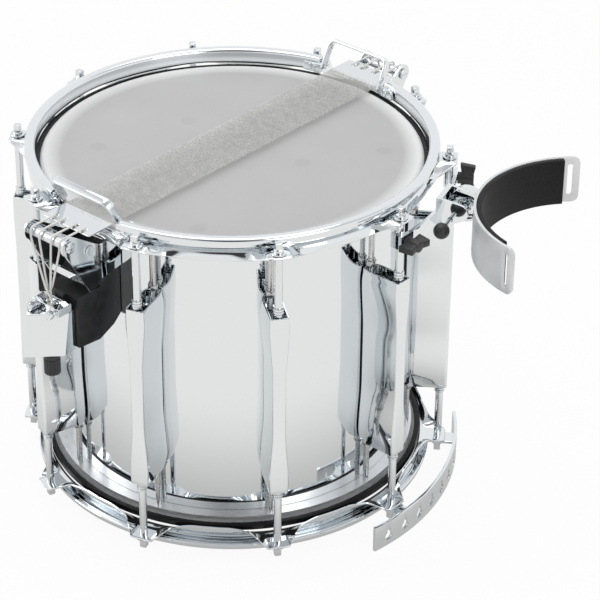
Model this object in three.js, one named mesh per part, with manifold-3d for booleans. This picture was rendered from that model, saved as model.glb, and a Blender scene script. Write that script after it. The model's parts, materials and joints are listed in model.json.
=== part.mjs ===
// Marching snare drum, 14 x 12 inch, standing on its batter hoop with the snare side up.
// Millimetres, +Z up, the drum's axis is Z and the origin is the middle of the batter head's playing face.
// Shapes are first drawn about the drum's middle, so heights are measured from half depth.
// A station's frame has X outward from the axis, Y round the drum and Z up.

import * as THREE from 'three';
import { mergeVertices } from 'three/addons/utils/BufferGeometryUtils.js';
import Module from 'manifold-3d';

const wasm = await Module();
wasm.setup();

// Drum body
const drumDepth = 304.8;
const shellRadius = 164;
const shellWall = 1.8;
const filmThickness = 0.5;
const seatGap = 0.3;
const overrun = 2;
const ringSides = 40;

// Lug places round the drum
const lugCount = 10;
const lugStep = 360 / lugCount;
const strainerAngle = -90;
const buttAngle = 90;
const legSideAngle = lugStep / 2;

// Bearing edge rings, and the studs that clamp the lugs between them
const edgeRingOverhang = 11;
const edgeRingHeight = 11;
const edgeSpigotThickness = 4.9;
const edgeCrestInset = 2.5;
const edgeCrestWidth = 1.6;
const edgeRoundDrop = 2.4;
const edgeSpigotDepth = 6;
const studStandOff = 5.6;
const studRadius = 2.2;
const studNutRadius = 4.8;
const studNutHeight = 10;
const studSides = 6;

// Heads
const fleshHoopClearance = 3.4;
const fleshHoopWidth = 5.2;
const fleshHoopDepth = 8;
const fleshHoopDrop = 1.7;
const collarInset = 1.4;

// Counter hoops, centre lines of the pressed sheet, heights above the film
const hoopThickness = 2.3;
const lipWidth = 8.1;
const lipHeight = 13.2;
const hoopWallLean = 0.7;
const hoopWallInset = 0.8;
const wallFootHeight = 0.6;
const skirtBendWidth = 3.7;
const skirtBendDrop = 1.6;
const skirtEdgeWidth = 5.5;
const skirtEdgeDrop = 7.9;
const earTipWidth = 6.4;
const earHeight = 2.4;
const earBendWidth = 5.8;
const rodHoleClearance = 0.8;
const hoopStationShares = [-0.8, -0.4, -0.15, 0.15, 0.4, 0.8];
const earBlendShares = [0, 0.2, 1, 1, 0.2, 0];
const gateHalfWidth = 42;
const gateFloorHeight = 0.8;

// Lugs
const lugEndDrop = 58.9;
const lugShellGap = 1;
const lugNoseWidth = 6.8;
const lugShoulderWidth = 8.4;
const lugWaistHalfWidth = 5.7;
const lugFlareHalfWidth = 8.6;
const lugEndHalfWidth = 8.2;
const lugHeelHalfWidth = 8.4;
const lugHeelFlareHalfWidth = 10.6;
const lugHeightShares = [-1, -0.86, -0.34, 0.34, 0.86, 1];
const lugNoseShare = 0.55;
const lugHeelThickness = 9.5;
const trayRim = 1.5;
const trayHalfWidth = 6;
const trayDepth = 5;
const lugWall = 2.6;

// Tension rods
const rodStandOff = 18.8;
const rodRadius = 3.25;
const rodHeadRadius = 4.6;
const rodHeadHeight = 9.5;
const washerRadius = 7;
const washerThickness = 1.5;
const rodNutRadius = 4.9;
const rodNutHeight = 14;
const rodReach = 40;
const rodSides = 6;
const boreClearance = 0.35;

// Snare wires and their end plates
const snareLineOffset = -6;
const wireCount = 20;
const wirePitch = 2.9;
const wireRadius = 1;
const wireLap = 5;
const strandRise = 4.8;
const plateTail = 23.5;
const plateNose = 5.5;
const plateHalfWidth = 29;
const plateThickness = 1.2;
const slotStandOff = 20.7;
const slotLength = 7;
const slotWidth = 3.8;

// Snare cords, laced in four runs over a roller
const cordRadius = 1;
const cordClearance = 0.6;
const cordTop = 18;
const cordTopShares = [-1, -0.4, 0.4, 1];
const cordCrossShares = [0, -0.085, 0.085, 0];
const cordFootShares = [0.5, -0.28, 0.17, -0.56];
const cordCrossSide = -4;
const cordLayerShares = [1, 0, 0, -1];
const cordLayerStep = 2.9;
const cordCrossDrop = 54.4;
const cordSides = 8;
const cordBendSteps = 3;

// Rollers
const rollerSetback = 22.7;
const rollerRadius = 4.8;
const rollerSides = 10;
const axleRadius = 2.2;
const axleHeadRadius = 5.5;
const axleHeadThickness = 2;

// Throw-off frame, fixed bracket and butt bracket, side plates as reach and height
const cheekInside = 22.3;
const cheekThickness = 2;
const cheekNoseRadius = 9.5;
const cheekNoseStartAngle = -60;
const cheekNoseEndAngle = 110;
const cheekTipSetback = 15.1;
const cheekTipDrop = 54.7;
const cheekBackGap = 3.5;
const cheekBackFootDrop = 49.4;
const cheekTopDrop = 13.4;
const crossbarSetback = 15.5;
const crossbarThickness = 2.5;
const crossbarDrop = 48.4;
const crossbarDepth = 7;
const pivotSetback = 14.3;
const pivotDrop = 12.1;
const pivotRadius = 3;
const pivotHeadRadius = 4.8;
const bracketNoseRadius = 7.5;
const bracketNoseStartAngle = -60;
const bracketNoseEndAngle = 100;
const bracketThickness = 2;
const bracketFootDrop = 45.4;
const bracketLowInset = 1.5;
const bracketLowDrop = 49.4;
const bracketBackThickness = 2.5;
const runningGap = 0.4;

// Strainer base, a folded black housing
const baseHalfWidth = 19.6;
const baseFrontDepth = 30;
const baseFoldDepth = 4;
const baseLowDrop = 112.4;
const baseFrontDrop = 109.9;
const baseBackDrop = 96.4;
const baseTuckDepth = 8.7;
const baseTuckDrop = 104.4;
const baseTopDrop = 58.4;
const baseStepDepth = 22.7;
const baseStepDrop = 26.4;
const guideHalfWidth = 5;
const guideHeight = 4;

// Sliding carriage, cord clamp and knob
const carriageBackGap = 0.6;
const carriageLowDrop = 112.4;
const carriageHighDrop = 70.4;
const carriageHeelDepth = 29.4;
const carriageHeelSide = -20;
const carriageNoseDepth = 41.8;
const carriageNoseSide = -8.9;
const carriageCornerDepth = 15.1;
const carriageCornerSide = 17;
const carriageBackSide = 16;
const carriageLean = 6.8;
const clampRibGap = 1;
const clampDepth = 16;
const clampMouthInset = 6.3;
const clampMouthHalfWidth = 11.6;
const clampMouthDepth = 5;
const clampHalfWidth = 17;
const clampHeight = 8;
const clampScrewRadius = 3.2;
const clampScrewLength = 9;
const clampScrewSide = 12;
const knobDepth = 18.6;
const knobSide = 3.7;
const knobRadius = 7.6;
const knobLength = 20;
const knobStemRadius = 2.5;
const knobStemLength = 16;
const knobFluteDepth = 0.9;
const knobFlutes = 8;
const fluteLandAngle = 22;
const fluteValleyAngle = 33.5;

// Butt
const buttShelfNose = 2;
const buttShelfThickness = 3;

// Snare guards
const guardHalfSpan = 37;
const guardFootInset = 7.3;
const guardFootRise = 5.2;
const guardTopOutset = 15;
const guardTopRise = 33.5;
const guardThickness = 3.2;
const guardWidth = 8;
const guardCornerRadius = 7;
const guardFootSide = 46;
const guardWallGap = 0.6;
const guardTabLength = 20;
const guardTabRise = 1.5;
const guardTabHeight = 9;
const guardTabThickness = 2.6;
const guardScrewRise = 7.2;
const guardScrewRadius = 2.2;
const guardScrewHeadRadius = 4;
const guardScrewHeadThickness = 2.4;
const guardNutRadius = 3.4;
const guardNutThickness = 3.2;

// Leg rest mounting bar, hooks and hinge bracket
const barThickness = 3.5;
const barLowDrop = 24.4;
const barHighDrop = 10.4;
const hookDepth = 5;
const hookHalfWidth = 7;
const barSteps = 8;
const hingeStandOff = 19.85;
const hingeDrop = 8.4;
const hingePinRadius = 3;
const hingeEarLeft = -14;
const hingeEarRight = 13.5;
const hingeEarThickness = 3;
const hingeEarNose = 8.5;
const hingeFootRise = 2.6;
const hingeFootThickness = 3;

// Leg rest plate, knuckle and pad
const legArcRadius = 100;
const legArcHalfAngle = 69;
const legPlateInset = 14;
const legPlateThickness = 2.5;
const legPlateHeight = 46;
const legSlotHeight = 32;
const legSlotWidth = 5;
const legSlotInsetAngle = 5.2;
const legCornerRadius = 7;
const padThickness = 5;
const padHalfAngle = 60;
const knuckleLeft = 2.3;
const knuckleRight = 13.1;
const knuckleRadius = 16;
const knuckleNeck = 9;
const foldRange = 80;

// Lock pin, ball and spring
const lockOffset = 8;
const lockRadius = 2;
const lockClearance = 0.4;
const lockWall = 5.5;
const lockTipEnd = 15.5;
const lockRestAngle = 225;
const lockSlotMarginAngle = 14;
const lockCollarLeft = -0.4;
const lockCollarThickness = 2;
const lockCollarRadius = 4.4;
const lockHandleLeft = -36;
const ballRadius = 7.4;
const springRadius = 3.5;
const springWireRadius = 0.4;
const springCurls = 6;
const springStepsPerCurl = 8;
const springSides = 5;

// Wing screws
const wingShankRadius = 3;
const wingHubRadius = 5;
const wingGap = 0.25;
const wingHubLength = 11.6;
const wingSpan = 29;
const wingThickness = 4.6;
const wingSetback = 2.6;
const wingDepth = 11;

// Carrying rail
const railStandOff = 32.4;
const railArcSetback = 14;
const railHalfAngle = 27.3;
const railThickness = 3;
const railDrop = 27.6;
const railHeight = 26.6;
const railSteps = 16;
const keyholeCount = 9;
const keyholeRadius = 4.6;
const keyholeStartAngle = 115;
const keyholeEndAngle = 425;
const keyholeSlotWidth = 3.6;
const keyholeSlotRise = 9.5;
const keyholeRise = 10;
const keyholeSpanShare = 0.84;
const armHalfWidth = 8;
const armTail = 5.6;
const armThickness = 3;

// Sizes worked out from the ones above
const halfDepth = drumDepth / 2;
const shellBore = shellRadius - shellWall;
const edgeRingRadius = shellRadius + edgeRingOverhang;
const edgeRingBore = shellBore - seatGap - edgeSpigotThickness;
const edgeCrestRadius = edgeRingRadius - edgeCrestInset;
const studCircleRadius = shellRadius + studStandOff;
const fleshHoopInnerRadius = edgeRingRadius + fleshHoopClearance;
const fleshHoopOuterRadius = fleshHoopInnerRadius + fleshHoopWidth;
const collarRadius = fleshHoopInnerRadius - collarInset;
const wallRadius = fleshHoopOuterRadius - hoopWallInset;
const lipBendRadius = wallRadius + hoopWallLean;
const lipRadius = lipBendRadius + lipWidth;
const skirtBendRadius = wallRadius + skirtBendWidth;
const skirtEdgeRadius = wallRadius + skirtEdgeWidth;
const earBendRadius = wallRadius + earBendWidth;
const rodCircleRadius = wallRadius + rodStandOff;
const earRadius = rodCircleRadius + earTipWidth;
const lugInnerRadius = shellRadius + lugShellGap;
const lugOuterRadius = rodCircleRadius + lugNoseWidth;
const lugShoulderRadius = lugOuterRadius - lugShoulderWidth;
const trayInnerRadius = lugInnerRadius + lugHeelThickness;
const trayOuterRadius = lugOuterRadius - trayRim;
const slotReach = wallRadius + slotStandOff;
const plateInnerReach = slotReach - plateTail;
const plateOuterReach = slotReach + plateNose;
const cheekTipHeight = halfDepth - cheekTipDrop;
const cheekBackFootHeight = halfDepth - cheekBackFootDrop;
const cheekTopHeight = halfDepth - cheekTopDrop;
const crossbarHeight = halfDepth - crossbarDrop;
const pivotHeight = halfDepth - pivotDrop;
const bracketFootHeight = halfDepth - bracketFootDrop;
const bracketLowHeight = halfDepth - bracketLowDrop;
const baseLowHeight = halfDepth - baseLowDrop;
const baseFrontHeight = halfDepth - baseFrontDrop;
const baseBackHeight = halfDepth - baseBackDrop;
const baseTuckHeight = halfDepth - baseTuckDrop;
const baseTopHeight = halfDepth - baseTopDrop;
const baseStepHeight = halfDepth - baseStepDrop;
const carriageLow = halfDepth - carriageLowDrop;
const carriageHigh = halfDepth - carriageHighDrop;
const cordCrossHeight = halfDepth - cordCrossDrop;
const barLow = halfDepth - barLowDrop;
const barHigh = halfDepth - barHighDrop;
const hingeHeight = halfDepth - hingeDrop;
const hingeFootHigh = halfDepth + hingeFootRise;
const guardFootReach = wallRadius - guardFootInset;
const guardTopReach = guardFootReach + guardTopOutset;
const hookInnerRadius = rodCircleRadius - hookDepth;
const railArcRadius = rodCircleRadius + railStandOff;
const railLow = -halfDepth - railDrop;
const railHigh = railLow + railHeight;
const armInnerRadius = rodCircleRadius - armTail;
const edgeCrestHeight = halfDepth - filmThickness - seatGap;
const edgeFootHeight = edgeCrestHeight - edgeRingHeight;
const lugTop = halfDepth - lugEndDrop;
const trayFloor = lugTop - trayDepth;
const plateMiddle = halfDepth + strandRise;
const plateTop = plateMiddle + plateThickness / 2;
const plateBottom = plateMiddle - plateThickness / 2;
const rollerHeight = plateTop - rollerRadius;
const cordWrap = rollerRadius + cordClearance + cordRadius;
const bracketOutside = cheekInside - runningGap;
const bracketInside = bracketOutside - bracketThickness;
const shellSeat = shellRadius + seatGap;
const baseStepReach = shellSeat + baseStepDepth;
const baseTuckReach = shellSeat + baseTuckDepth;
const baseFoldReach = baseStepReach + baseFoldDepth;
const baseFrontReach = baseStepReach + baseFrontDepth;
const cheekBackReach = baseStepReach + cheekBackGap;
const cheekTipReach = cheekBackReach + cheekTipSetback;
const crossbarReach = cheekBackReach + crossbarSetback;
const bracketLowReach = cheekBackReach - bracketLowInset;
const pivotReach = cheekBackReach + pivotSetback;
const rollerReach = pivotReach + rollerSetback;
const carriageBack = baseFrontReach + carriageBackGap;
const clampInnerReach = baseFrontReach + guideHeight + clampRibGap;
const clampOuterReach = clampInnerReach + clampDepth;
const clampMouthReach = clampInnerReach + clampMouthInset;
const knobReach = carriageBack + knobDepth;
const buttShelfReach = clampOuterReach + buttShelfNose;
const clampLow = carriageHigh + seatGap;
const clampTop = clampLow + clampHeight;
const barInnerRadius = rodCircleRadius + rodRadius + rodHoleClearance;
const barOuterRadius = barInnerRadius + barThickness;
const hingeReach = barOuterRadius + hingeStandOff;
const wingHubInner = barOuterRadius + wingGap;
const wingHubOuter = wingHubInner + wingHubLength;
const wingInner = wingHubInner + wingSetback;
const wingOuter = wingInner + wingDepth;
const legArcCentre = hingeReach + legPlateInset + legArcRadius;
const legPlateLow = hingeHeight - legPlateHeight / 2;
const legPlateHigh = hingeHeight + legPlateHeight / 2;
const earUnderside = halfDepth + earHeight - hoopThickness / 2;
const earTop = halfDepth + earHeight + hoopThickness / 2;

const radians = THREE.MathUtils.degToRad;

// Materials
const finish = (color, roughness, metalness) => () =>
  new THREE.MeshStandardMaterial({ color, roughness, metalness, side: THREE.FrontSide });
const chrome = finish(0xd9dde0, 0.12, 1);
const satinSteel = finish(0xb9babb, 0.35, 1);
const film = finish(0xc4c4c4, 0.55, 0);
const blackPlastic = finish(0x1a1a1b, 0.5, 0);
const whiteCord = finish(0xeeeeec, 0.7, 0);
const paintedSteel = finish(0xc9cacb, 0.4, 0.2);
const foam = finish(0x141414, 0.95, 0);

// The built-in signed volume of a closed surface, positive when its faces point out
function signedVolume(positions, index) {
  const a = new THREE.Vector3();
  const b = new THREE.Vector3();
  const c = new THREE.Vector3();
  let sum = 0;
  for (let i = 0; i < index.length; i += 3) {
    a.fromArray(positions, 3 * index[i]);
    b.fromArray(positions, 3 * index[i + 1]);
    c.fromArray(positions, 3 * index[i + 2]);
    sum += a.dot(b.cross(c)) / 6;
  }
  return sum;
}

// A solid for cutting and joining, from any closed three.js geometry
function solid(geometry) {
  const bare = new THREE.BufferGeometry();
  bare.setAttribute('position', geometry.getAttribute('position'));
  bare.setIndex(geometry.getIndex());
  const merged = mergeVertices(bare);
  const positions = merged.getAttribute('position').array;
  const source = merged.getIndex().array;
  let index = [];
  for (let i = 0; i < source.length; i += 3) {
    const [p, q, r] = [source[i], source[i + 1], source[i + 2]];
    if (p !== q && q !== r && r !== p) index.push(p, q, r);
  }
  if (signedVolume(positions, index) < 0) index = index.reverse();
  const triVerts = new Uint32Array(index);
  const vertProperties = new Float32Array(positions);
  return new wasm.Manifold(new wasm.Mesh({ numProp: 3, vertProperties, triVerts }));
}

// The shape of a solid, with flat faces
function shape(body) {
  const mesh = body.getMesh();
  const geometry = new THREE.BufferGeometry();
  geometry.setAttribute('position', new THREE.BufferAttribute(new Float32Array(mesh.vertProperties), 3));
  geometry.setIndex(new THREE.BufferAttribute(new Uint32Array(mesh.triVerts), 1));
  const faceted = geometry.toNonIndexed();
  faceted.computeVertexNormals();
  return faceted;
}

const join = (first, ...others) => others.reduce((body, other) => body.add(other), first);
const cut = (first, ...tools) => tools.reduce((body, tool) => body.subtract(tool), first);

// A named piece
function piece(name, body, material) {
  const mesh = new THREE.Mesh(shape(body), material());
  mesh.name = name;
  return mesh;
}

// A turned body about Z from points of radius and height; a profile off the axis closes on itself
function turned(points, sides) {
  const onAxis = points[0][0] === 0;
  const profile = points.map(([radius, height]) => new THREE.Vector2(radius, height));
  if (!onAxis) profile.push(profile[0].clone());
  return solid(new THREE.LatheGeometry(profile, sides).rotateX(Math.PI / 2));
}

// An outline pushed along one axis: 'z' takes x and y, 'y' takes x and z, 'x' takes y and z
function pushed(outline, from, to, along) {
  const flat = new THREE.Shape(outline.map(([u, v]) => new THREE.Vector2(u, v)));
  const geometry = new THREE.ExtrudeGeometry(flat, { depth: to - from, bevelEnabled: false });
  const x = new THREE.Vector3(1, 0, 0);
  const y = new THREE.Vector3(0, 1, 0);
  const z = new THREE.Vector3(0, 0, 1);
  geometry.translate(0, 0, along === 'y' ? -to : from);
  if (along === 'y') geometry.applyMatrix4(new THREE.Matrix4().makeBasis(x, z, y.negate()));
  if (along === 'x') geometry.applyMatrix4(new THREE.Matrix4().makeBasis(y, z, x));
  return solid(geometry);
}

const rectangle = (u0, v0, u1, v1) => [[u0, v0], [u1, v0], [u1, v1], [u0, v1]];

// Points on an arc, angles in degrees
function arc(u, v, radius, from, to, steps) {
  return Array.from({ length: steps + 1 }, (_, i) => {
    const a = radians(from + ((to - from) * i) / steps);
    return [u + radius * Math.cos(a), v + radius * Math.sin(a)];
  });
}

const circle = (u, v, radius, sides) => arc(u, v, radius, -90, 270 - 360 / sides, sides - 1);

// A round bar along an axis, centred at u and v of the two other axes
const bar = (u, v, radius, from, to, along, sides = 8) => pushed(circle(u, v, radius, sides), from, to, along);

// A bore along an axis, its flats no nearer than the radius
const bore = (u, v, radius, from, to, along, sides = 6) =>
  bar(u, v, radius / Math.cos(Math.PI / sides), from, to, along, sides);

const block = (x0, y0, z0, x1, y1, z1) => pushed(rectangle(x0, y0, x1, y1), z0, z1, 'z');

// A skin over rings of points; the rings close round, or the two ends are capped
function skinned(rings, closeRound) {
  const count = rings[0].length;
  const positions = rings.flat(2);
  const index = [];
  const spans = closeRound ? rings.length : rings.length - 1;
  for (let i = 0; i < spans; i += 1) {
    const next = (i + 1) % rings.length;
    for (let j = 0; j < count; j += 1) {
      const k = (j + 1) % count;
      const corner = [i * count + j, i * count + k, next * count + k, next * count + j];
      index.push(corner[0], corner[1], corner[2], corner[0], corner[2], corner[3]);
    }
  }
  if (!closeRound) {
    const last = (rings.length - 1) * count;
    for (let j = 1; j < count - 1; j += 1) {
      index.push(0, j + 1, j);
      index.push(last, last + j, last + j + 1);
    }
  }
  const geometry = new THREE.BufferGeometry();
  geometry.setAttribute('position', new THREE.Float32BufferAttribute(positions, 3));
  geometry.setIndex(index);
  return solid(geometry);
}

// The closed outline of a bent sheet from its centre line
function sheetOutline(line, thickness) {
  const half = thickness / 2;
  const sides = [[], []];
  line.forEach((point, i) => {
    const before = line[Math.max(i - 1, 0)];
    const after = line[Math.min(i + 1, line.length - 1)];
    const unit = (from, to) => new THREE.Vector2(to[0] - from[0], to[1] - from[1]).normalize();
    const arriving = i > 0 ? unit(before, point) : unit(point, after);
    const leaving = i < line.length - 1 ? unit(point, after) : arriving;
    const middle = arriving.clone().add(leaving).normalize();
    const reach = half / Math.max(middle.dot(arriving), Math.SQRT1_2);
    const normal = new THREE.Vector2(-middle.y, middle.x).multiplyScalar(reach);
    sides[0].push([point[0] + normal.x, point[1] + normal.y]);
    sides[1].push([point[0] - normal.x, point[1] - normal.y]);
  });
  return [...sides[0], ...sides[1].reverse()];
}

// A body moved and turned about Z
const placed = (body, angle, x = 0, y = 0, z = 0) => body.rotate([0, 0, angle]).translate([x, y, z]);

// Copies of one body at every lug
const roundTheDrum = (body, radius, first = 0) =>
  Array.from({ length: lugCount }, (_, i) => placed(body.translate([radius, 0, 0]), first + i * lugStep));

const flipped = (body) => body.mirror([0, 0, 1]);

// The shell, a plain tube between the two edge rings
function makeShell() {
  const reach = edgeFootHeight - seatGap;
  return turned([[shellBore, -reach], [shellRadius, -reach], [shellRadius, reach], [shellBore, reach]], ringSides);
}

// One stud with its nut, standing on the lug's heel and reaching up to the edge ring
function makeStud() {
  const nutTop = lugTop + studNutHeight;
  const stud = turned([
    [0, edgeFootHeight - seatGap],
    [studRadius, edgeFootHeight - seatGap],
    [studRadius, nutTop],
    [studNutRadius, nutTop],
    [studNutRadius, lugTop - overrun],
    [0, lugTop - overrun],
  ], studSides);
  return stud.translate([studCircleRadius, 0, 0]);
}

// An edge ring: a spigot inside the shell, a flat over its end and the bearing edge on top
function makeEdgeRing() {
  const spigotRadius = shellBore - seatGap;
  return turned([
    [edgeRingBore, edgeFootHeight - edgeSpigotDepth],
    [spigotRadius, edgeFootHeight - edgeSpigotDepth],
    [spigotRadius, edgeFootHeight],
    [edgeRingRadius, edgeFootHeight],
    [edgeRingRadius, edgeCrestHeight - edgeRoundDrop],
    [edgeCrestRadius + edgeCrestWidth / 2, edgeCrestHeight],
    [edgeCrestRadius - edgeCrestWidth / 2, edgeCrestHeight],
    [edgeRingBore, edgeFootHeight],
  ], ringSides);
}

// A head: the film and its flesh hoop in one
function makeHead() {
  const filmUnderside = halfDepth - filmThickness;
  return turned([
    [0, filmUnderside],
    [fleshHoopInnerRadius, filmUnderside],
    [fleshHoopInnerRadius, halfDepth - fleshHoopDepth],
    [fleshHoopOuterRadius, halfDepth - fleshHoopDepth],
    [fleshHoopOuterRadius, halfDepth - fleshHoopDrop],
    [collarRadius, halfDepth],
    [0, halfDepth],
  ], ringSides);
}

// The hoop's section, from the rolled lip down the wall to the ear or the skirt
function hoopSection(earBlend) {
  const mix = (skirt, ear) => skirt + (ear - skirt) * earBlend;
  return sheetOutline([
    [lipRadius, halfDepth + lipHeight],
    [lipBendRadius, halfDepth + lipHeight],
    [wallRadius, halfDepth + wallFootHeight],
    [mix(skirtBendRadius, earBendRadius), halfDepth + mix(-skirtBendDrop, earHeight)],
    [mix(skirtEdgeRadius, earRadius), halfDepth + mix(-skirtEdgeDrop, earHeight)],
  ], hoopThickness);
}

// A pressed hoop with ten ears and a hole for each rod
function makeHoop() {
  const rings = [];
  for (let lug = 0; lug < lugCount; lug += 1) {
    hoopStationShares.forEach((share, i) => {
      const angle = radians((lug + share / 2) * lugStep);
      const ring = hoopSection(earBlendShares[i]);
      rings.push(ring.map(([radius, height]) => [radius * Math.cos(angle), radius * Math.sin(angle), height]));
    });
  }
  const hole = bore(0, 0, rodRadius + rodHoleClearance, earUnderside - overrun, earTop + overrun, 'z');
  return cut(skinned(rings, true), ...roundTheDrum(hole, rodCircleRadius));
}

// The openings in the snare hoop: a gate for the wires and two screw holes for each guard
function gateTools() {
  const tools = [];
  const top = halfDepth + lipHeight + hoopThickness;
  const innerReach = guardFootReach - guardWidth;
  const gate = block(innerReach, -gateHalfWidth, halfDepth + gateFloorHeight, earRadius, gateHalfWidth, top);
  const holeRadius = guardScrewRadius + seatGap;
  const height = halfDepth + guardScrewRise;
  const hole = bore(0, height, holeRadius, wallRadius - hoopThickness * 2, wallRadius + hoopThickness * 2, 'x');
  for (const [angle, side] of [[strainerAngle, 1], [buttAngle, -1]]) {
    const holes = [-1, 1].map((foot) => placed(hole, guardFootAngle(side, foot)));
    tools.push(placed(gate.translate([0, side * snareLineOffset, 0]), angle));
    tools.push(...holes.map((tool) => placed(tool, angle)));
  }
  return tools;
}

// Where on the round wall a guard's foot lies, on one side of the snare line of one end
function guardFootAngle(end, foot) {
  return THREE.MathUtils.radToDeg(Math.asin((foot * guardFootSide + end * snareLineOffset) / wallRadius));
}

// One lug: an hourglass casting, hollow at the back, with a tray, a rod's bore and a stud at each end
function makeLug() {
  const outerHalf = [lugEndHalfWidth, lugFlareHalfWidth, lugWaistHalfWidth, lugWaistHalfWidth];
  outerHalf.push(lugFlareHalfWidth, lugEndHalfWidth);
  const heelHalf = [lugHeelHalfWidth, lugHeelFlareHalfWidth, lugHeelHalfWidth, lugHeelHalfWidth];
  heelHalf.push(lugHeelFlareHalfWidth, lugHeelHalfWidth);
  const crown = lugOuterRadius - (lugOuterRadius - lugShoulderRadius) / lugCount;
  const rings = lugHeightShares.map((share, i) => {
    const height = share * lugTop;
    const [outer, heel] = [outerHalf[i], heelHalf[i]];
    const half = [[lugInnerRadius, heel], [lugShoulderRadius, outer], [crown, outer]];
    half.push([lugOuterRadius, outer * lugNoseShare]);
    const other = half.map(([radius, width]) => [radius, -width]).reverse();
    return [...half, ...other].map(([radius, width]) => [radius, width, height]);
  });
  const tray = block(trayInnerRadius, -trayHalfWidth, trayFloor, trayOuterRadius, trayHalfWidth, lugTop + overrun);
  const rodBore = bore(rodCircleRadius, 0, rodRadius + boreClearance, lugTop - rodReach - overrun, lugTop, 'z');
  const pocketFront = rodCircleRadius - rodRadius - boreClearance - lugWall;
  const pocketEnd = trayFloor - lugWall;
  const [mouth, floor] = [lugHeelHalfWidth - lugWall, lugWaistHalfWidth - lugWall];
  const pocket = pushed([
    [lugInnerRadius - overrun, -mouth], [pocketFront, -floor], [pocketFront, floor], [lugInnerRadius - overrun, mouth],
  ], -pocketEnd, pocketEnd, 'z');
  const tools = [tray, rodBore];
  const casting = cut(skinned(rings, false), ...tools, ...tools.map(flipped), pocket);
  return join(casting, makeStud(), flipped(makeStud()));
}

// One tension rod, head up, from the seat under its washer into the lug
function makeRod(seat) {
  const washerTop = seat + washerThickness;
  const headTop = washerTop + rodHeadHeight;
  const nutFoot = trayFloor + seatGap;
  const nutTop = nutFoot + rodNutHeight;
  return turned([
    [0, headTop],
    [rodHeadRadius, headTop],
    [rodHeadRadius, washerTop],
    [washerRadius, washerTop],
    [washerRadius, seat],
    [rodRadius, seat],
    [rodRadius, nutTop],
    [rodNutRadius, nutTop],
    [rodNutRadius, nutFoot],
    [rodRadius, nutFoot],
    [rodRadius, lugTop - rodReach],
    [0, lugTop - rodReach],
  ], rodSides);
}

// The snare wires, soldered to a slotted plate at each end
function makeSnareWires() {
  const wires = [];
  const wireReach = plateInnerReach + wireLap;
  for (let i = 0; i < wireCount; i += 1) {
    const side = (i - (wireCount - 1) / 2) * wirePitch;
    wires.push(bar(side, plateMiddle, wireRadius, -wireReach, wireReach, 'x', 4));
  }
  const plates = [-1, 1].map((end) => {
    const [inner, outer] = [end * plateInnerReach, end * plateOuterReach].sort((a, b) => a - b);
    const plate = block(inner, -plateHalfWidth, plateBottom, outer, plateHalfWidth, plateTop);
    const middle = end * slotReach;
    const slots = cordTopShares.map((share) => block(
      middle - slotLength / 2, share * cordTop - slotWidth / 2, plateBottom - overrun,
      middle + slotLength / 2, share * cordTop + slotWidth / 2, plateTop + overrun,
    ));
    return cut(plate, ...slots);
  });
  return join(plates[0], plates[1], ...wires);
}

// The corners of one run of the cord, from its foot in the clamp over the roller to its slot
function cordRun(run) {
  const top = cordTopShares[run] * cordTop;
  const layer = clampMouthReach + cordLayerShares[run] * cordLayerStep;
  const above = rollerHeight + cordWrap;
  return [
    [layer, cordCrossSide + cordFootShares[run] * cordTop, clampTop - clampMouthDepth / 2],
    [layer, cordCrossSide + cordCrossShares[run] * cordTop, cordCrossHeight],
    [rollerReach + cordWrap, top, rollerHeight - cordRadius * 3],
    [rollerReach + cordWrap, top, above],
    [slotReach, top, above],
    [slotReach, top, plateBottom - cordClearance - cordRadius],
  ];
}

// A chain of points along straight runs between corners, each sharp corner taken in a bend
function bent(corners, reach, steps) {
  const chain = [corners[0]];
  for (let i = 1; i < corners.length - 1; i += 1) {
    const corner = corners[i];
    const arriving = corner.clone().sub(corners[i - 1]);
    const leaving = corners[i + 1].clone().sub(corner);
    const room = Math.min(reach, arriving.length() / 2, leaving.length() / 2);
    const start = corner.clone().addScaledVector(arriving.normalize(), -room);
    const end = corner.clone().addScaledVector(leaving.normalize(), room);
    const sharp = arriving.dot(leaving) < Math.SQRT1_2;
    chain.push(...(sharp ? new THREE.QuadraticBezierCurve3(start, corner, end).getPoints(steps) : [corner]));
  }
  chain.push(corners[corners.length - 1]);
  return chain.filter((point, i) => i === 0 || point.distanceTo(chain[i - 1]) > cordRadius / 10);
}

// The whole laced cord in one tube
function makeCord(name) {
  const corners = [
    ...cordRun(0), ...cordRun(1).reverse(), ...cordRun(2), ...cordRun(3).reverse(),
  ].map((point) => new THREE.Vector3(...point));
  const centre = bent(corners, cordWrap, cordBendSteps);
  console.log(`${name} least gap to itself`, leastSelfGap(centre, cordRadius, cordRadius * 5).toFixed(2), 'mm');
  return tube(centre, cordRadius, cordSides);
}

// A round tube on a chain of points, its section carried along without twist
function tube(centre, radius, sides) {
  const rings = [];
  const up = new THREE.Vector3(0, 1, 0);
  let side = up;
  centre.forEach((point, i) => {
    const before = centre[Math.max(i - 1, 0)];
    const after = centre[Math.min(i + 1, centre.length - 1)];
    const along = after.clone().sub(before).normalize();
    side = side.clone().addScaledVector(along, -side.dot(along)).normalize();
    const other = along.clone().cross(side);
    rings.push(circle(0, 0, radius, sides).map(([u, v]) =>
      point.clone().addScaledVector(side, u).addScaledVector(other, v).toArray()));
  });
  return skinned(rings, false);
}

// The least gap between two places of one tube that lie further apart along it than the reach
function leastSelfGap(centre, radius, reach) {
  const run = [0];
  centre.forEach((point, i) => {
    if (i > 0) run.push(run[i - 1] + point.distanceTo(centre[i - 1]));
  });
  let least = Infinity;
  for (let i = 0; i < centre.length; i += 1) {
    for (let j = i + 1; j < centre.length; j += 1) {
      if (run[j] - run[i] > reach) least = Math.min(least, centre[i].distanceTo(centre[j]) - radius * 2);
    }
  }
  return least;
}

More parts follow.
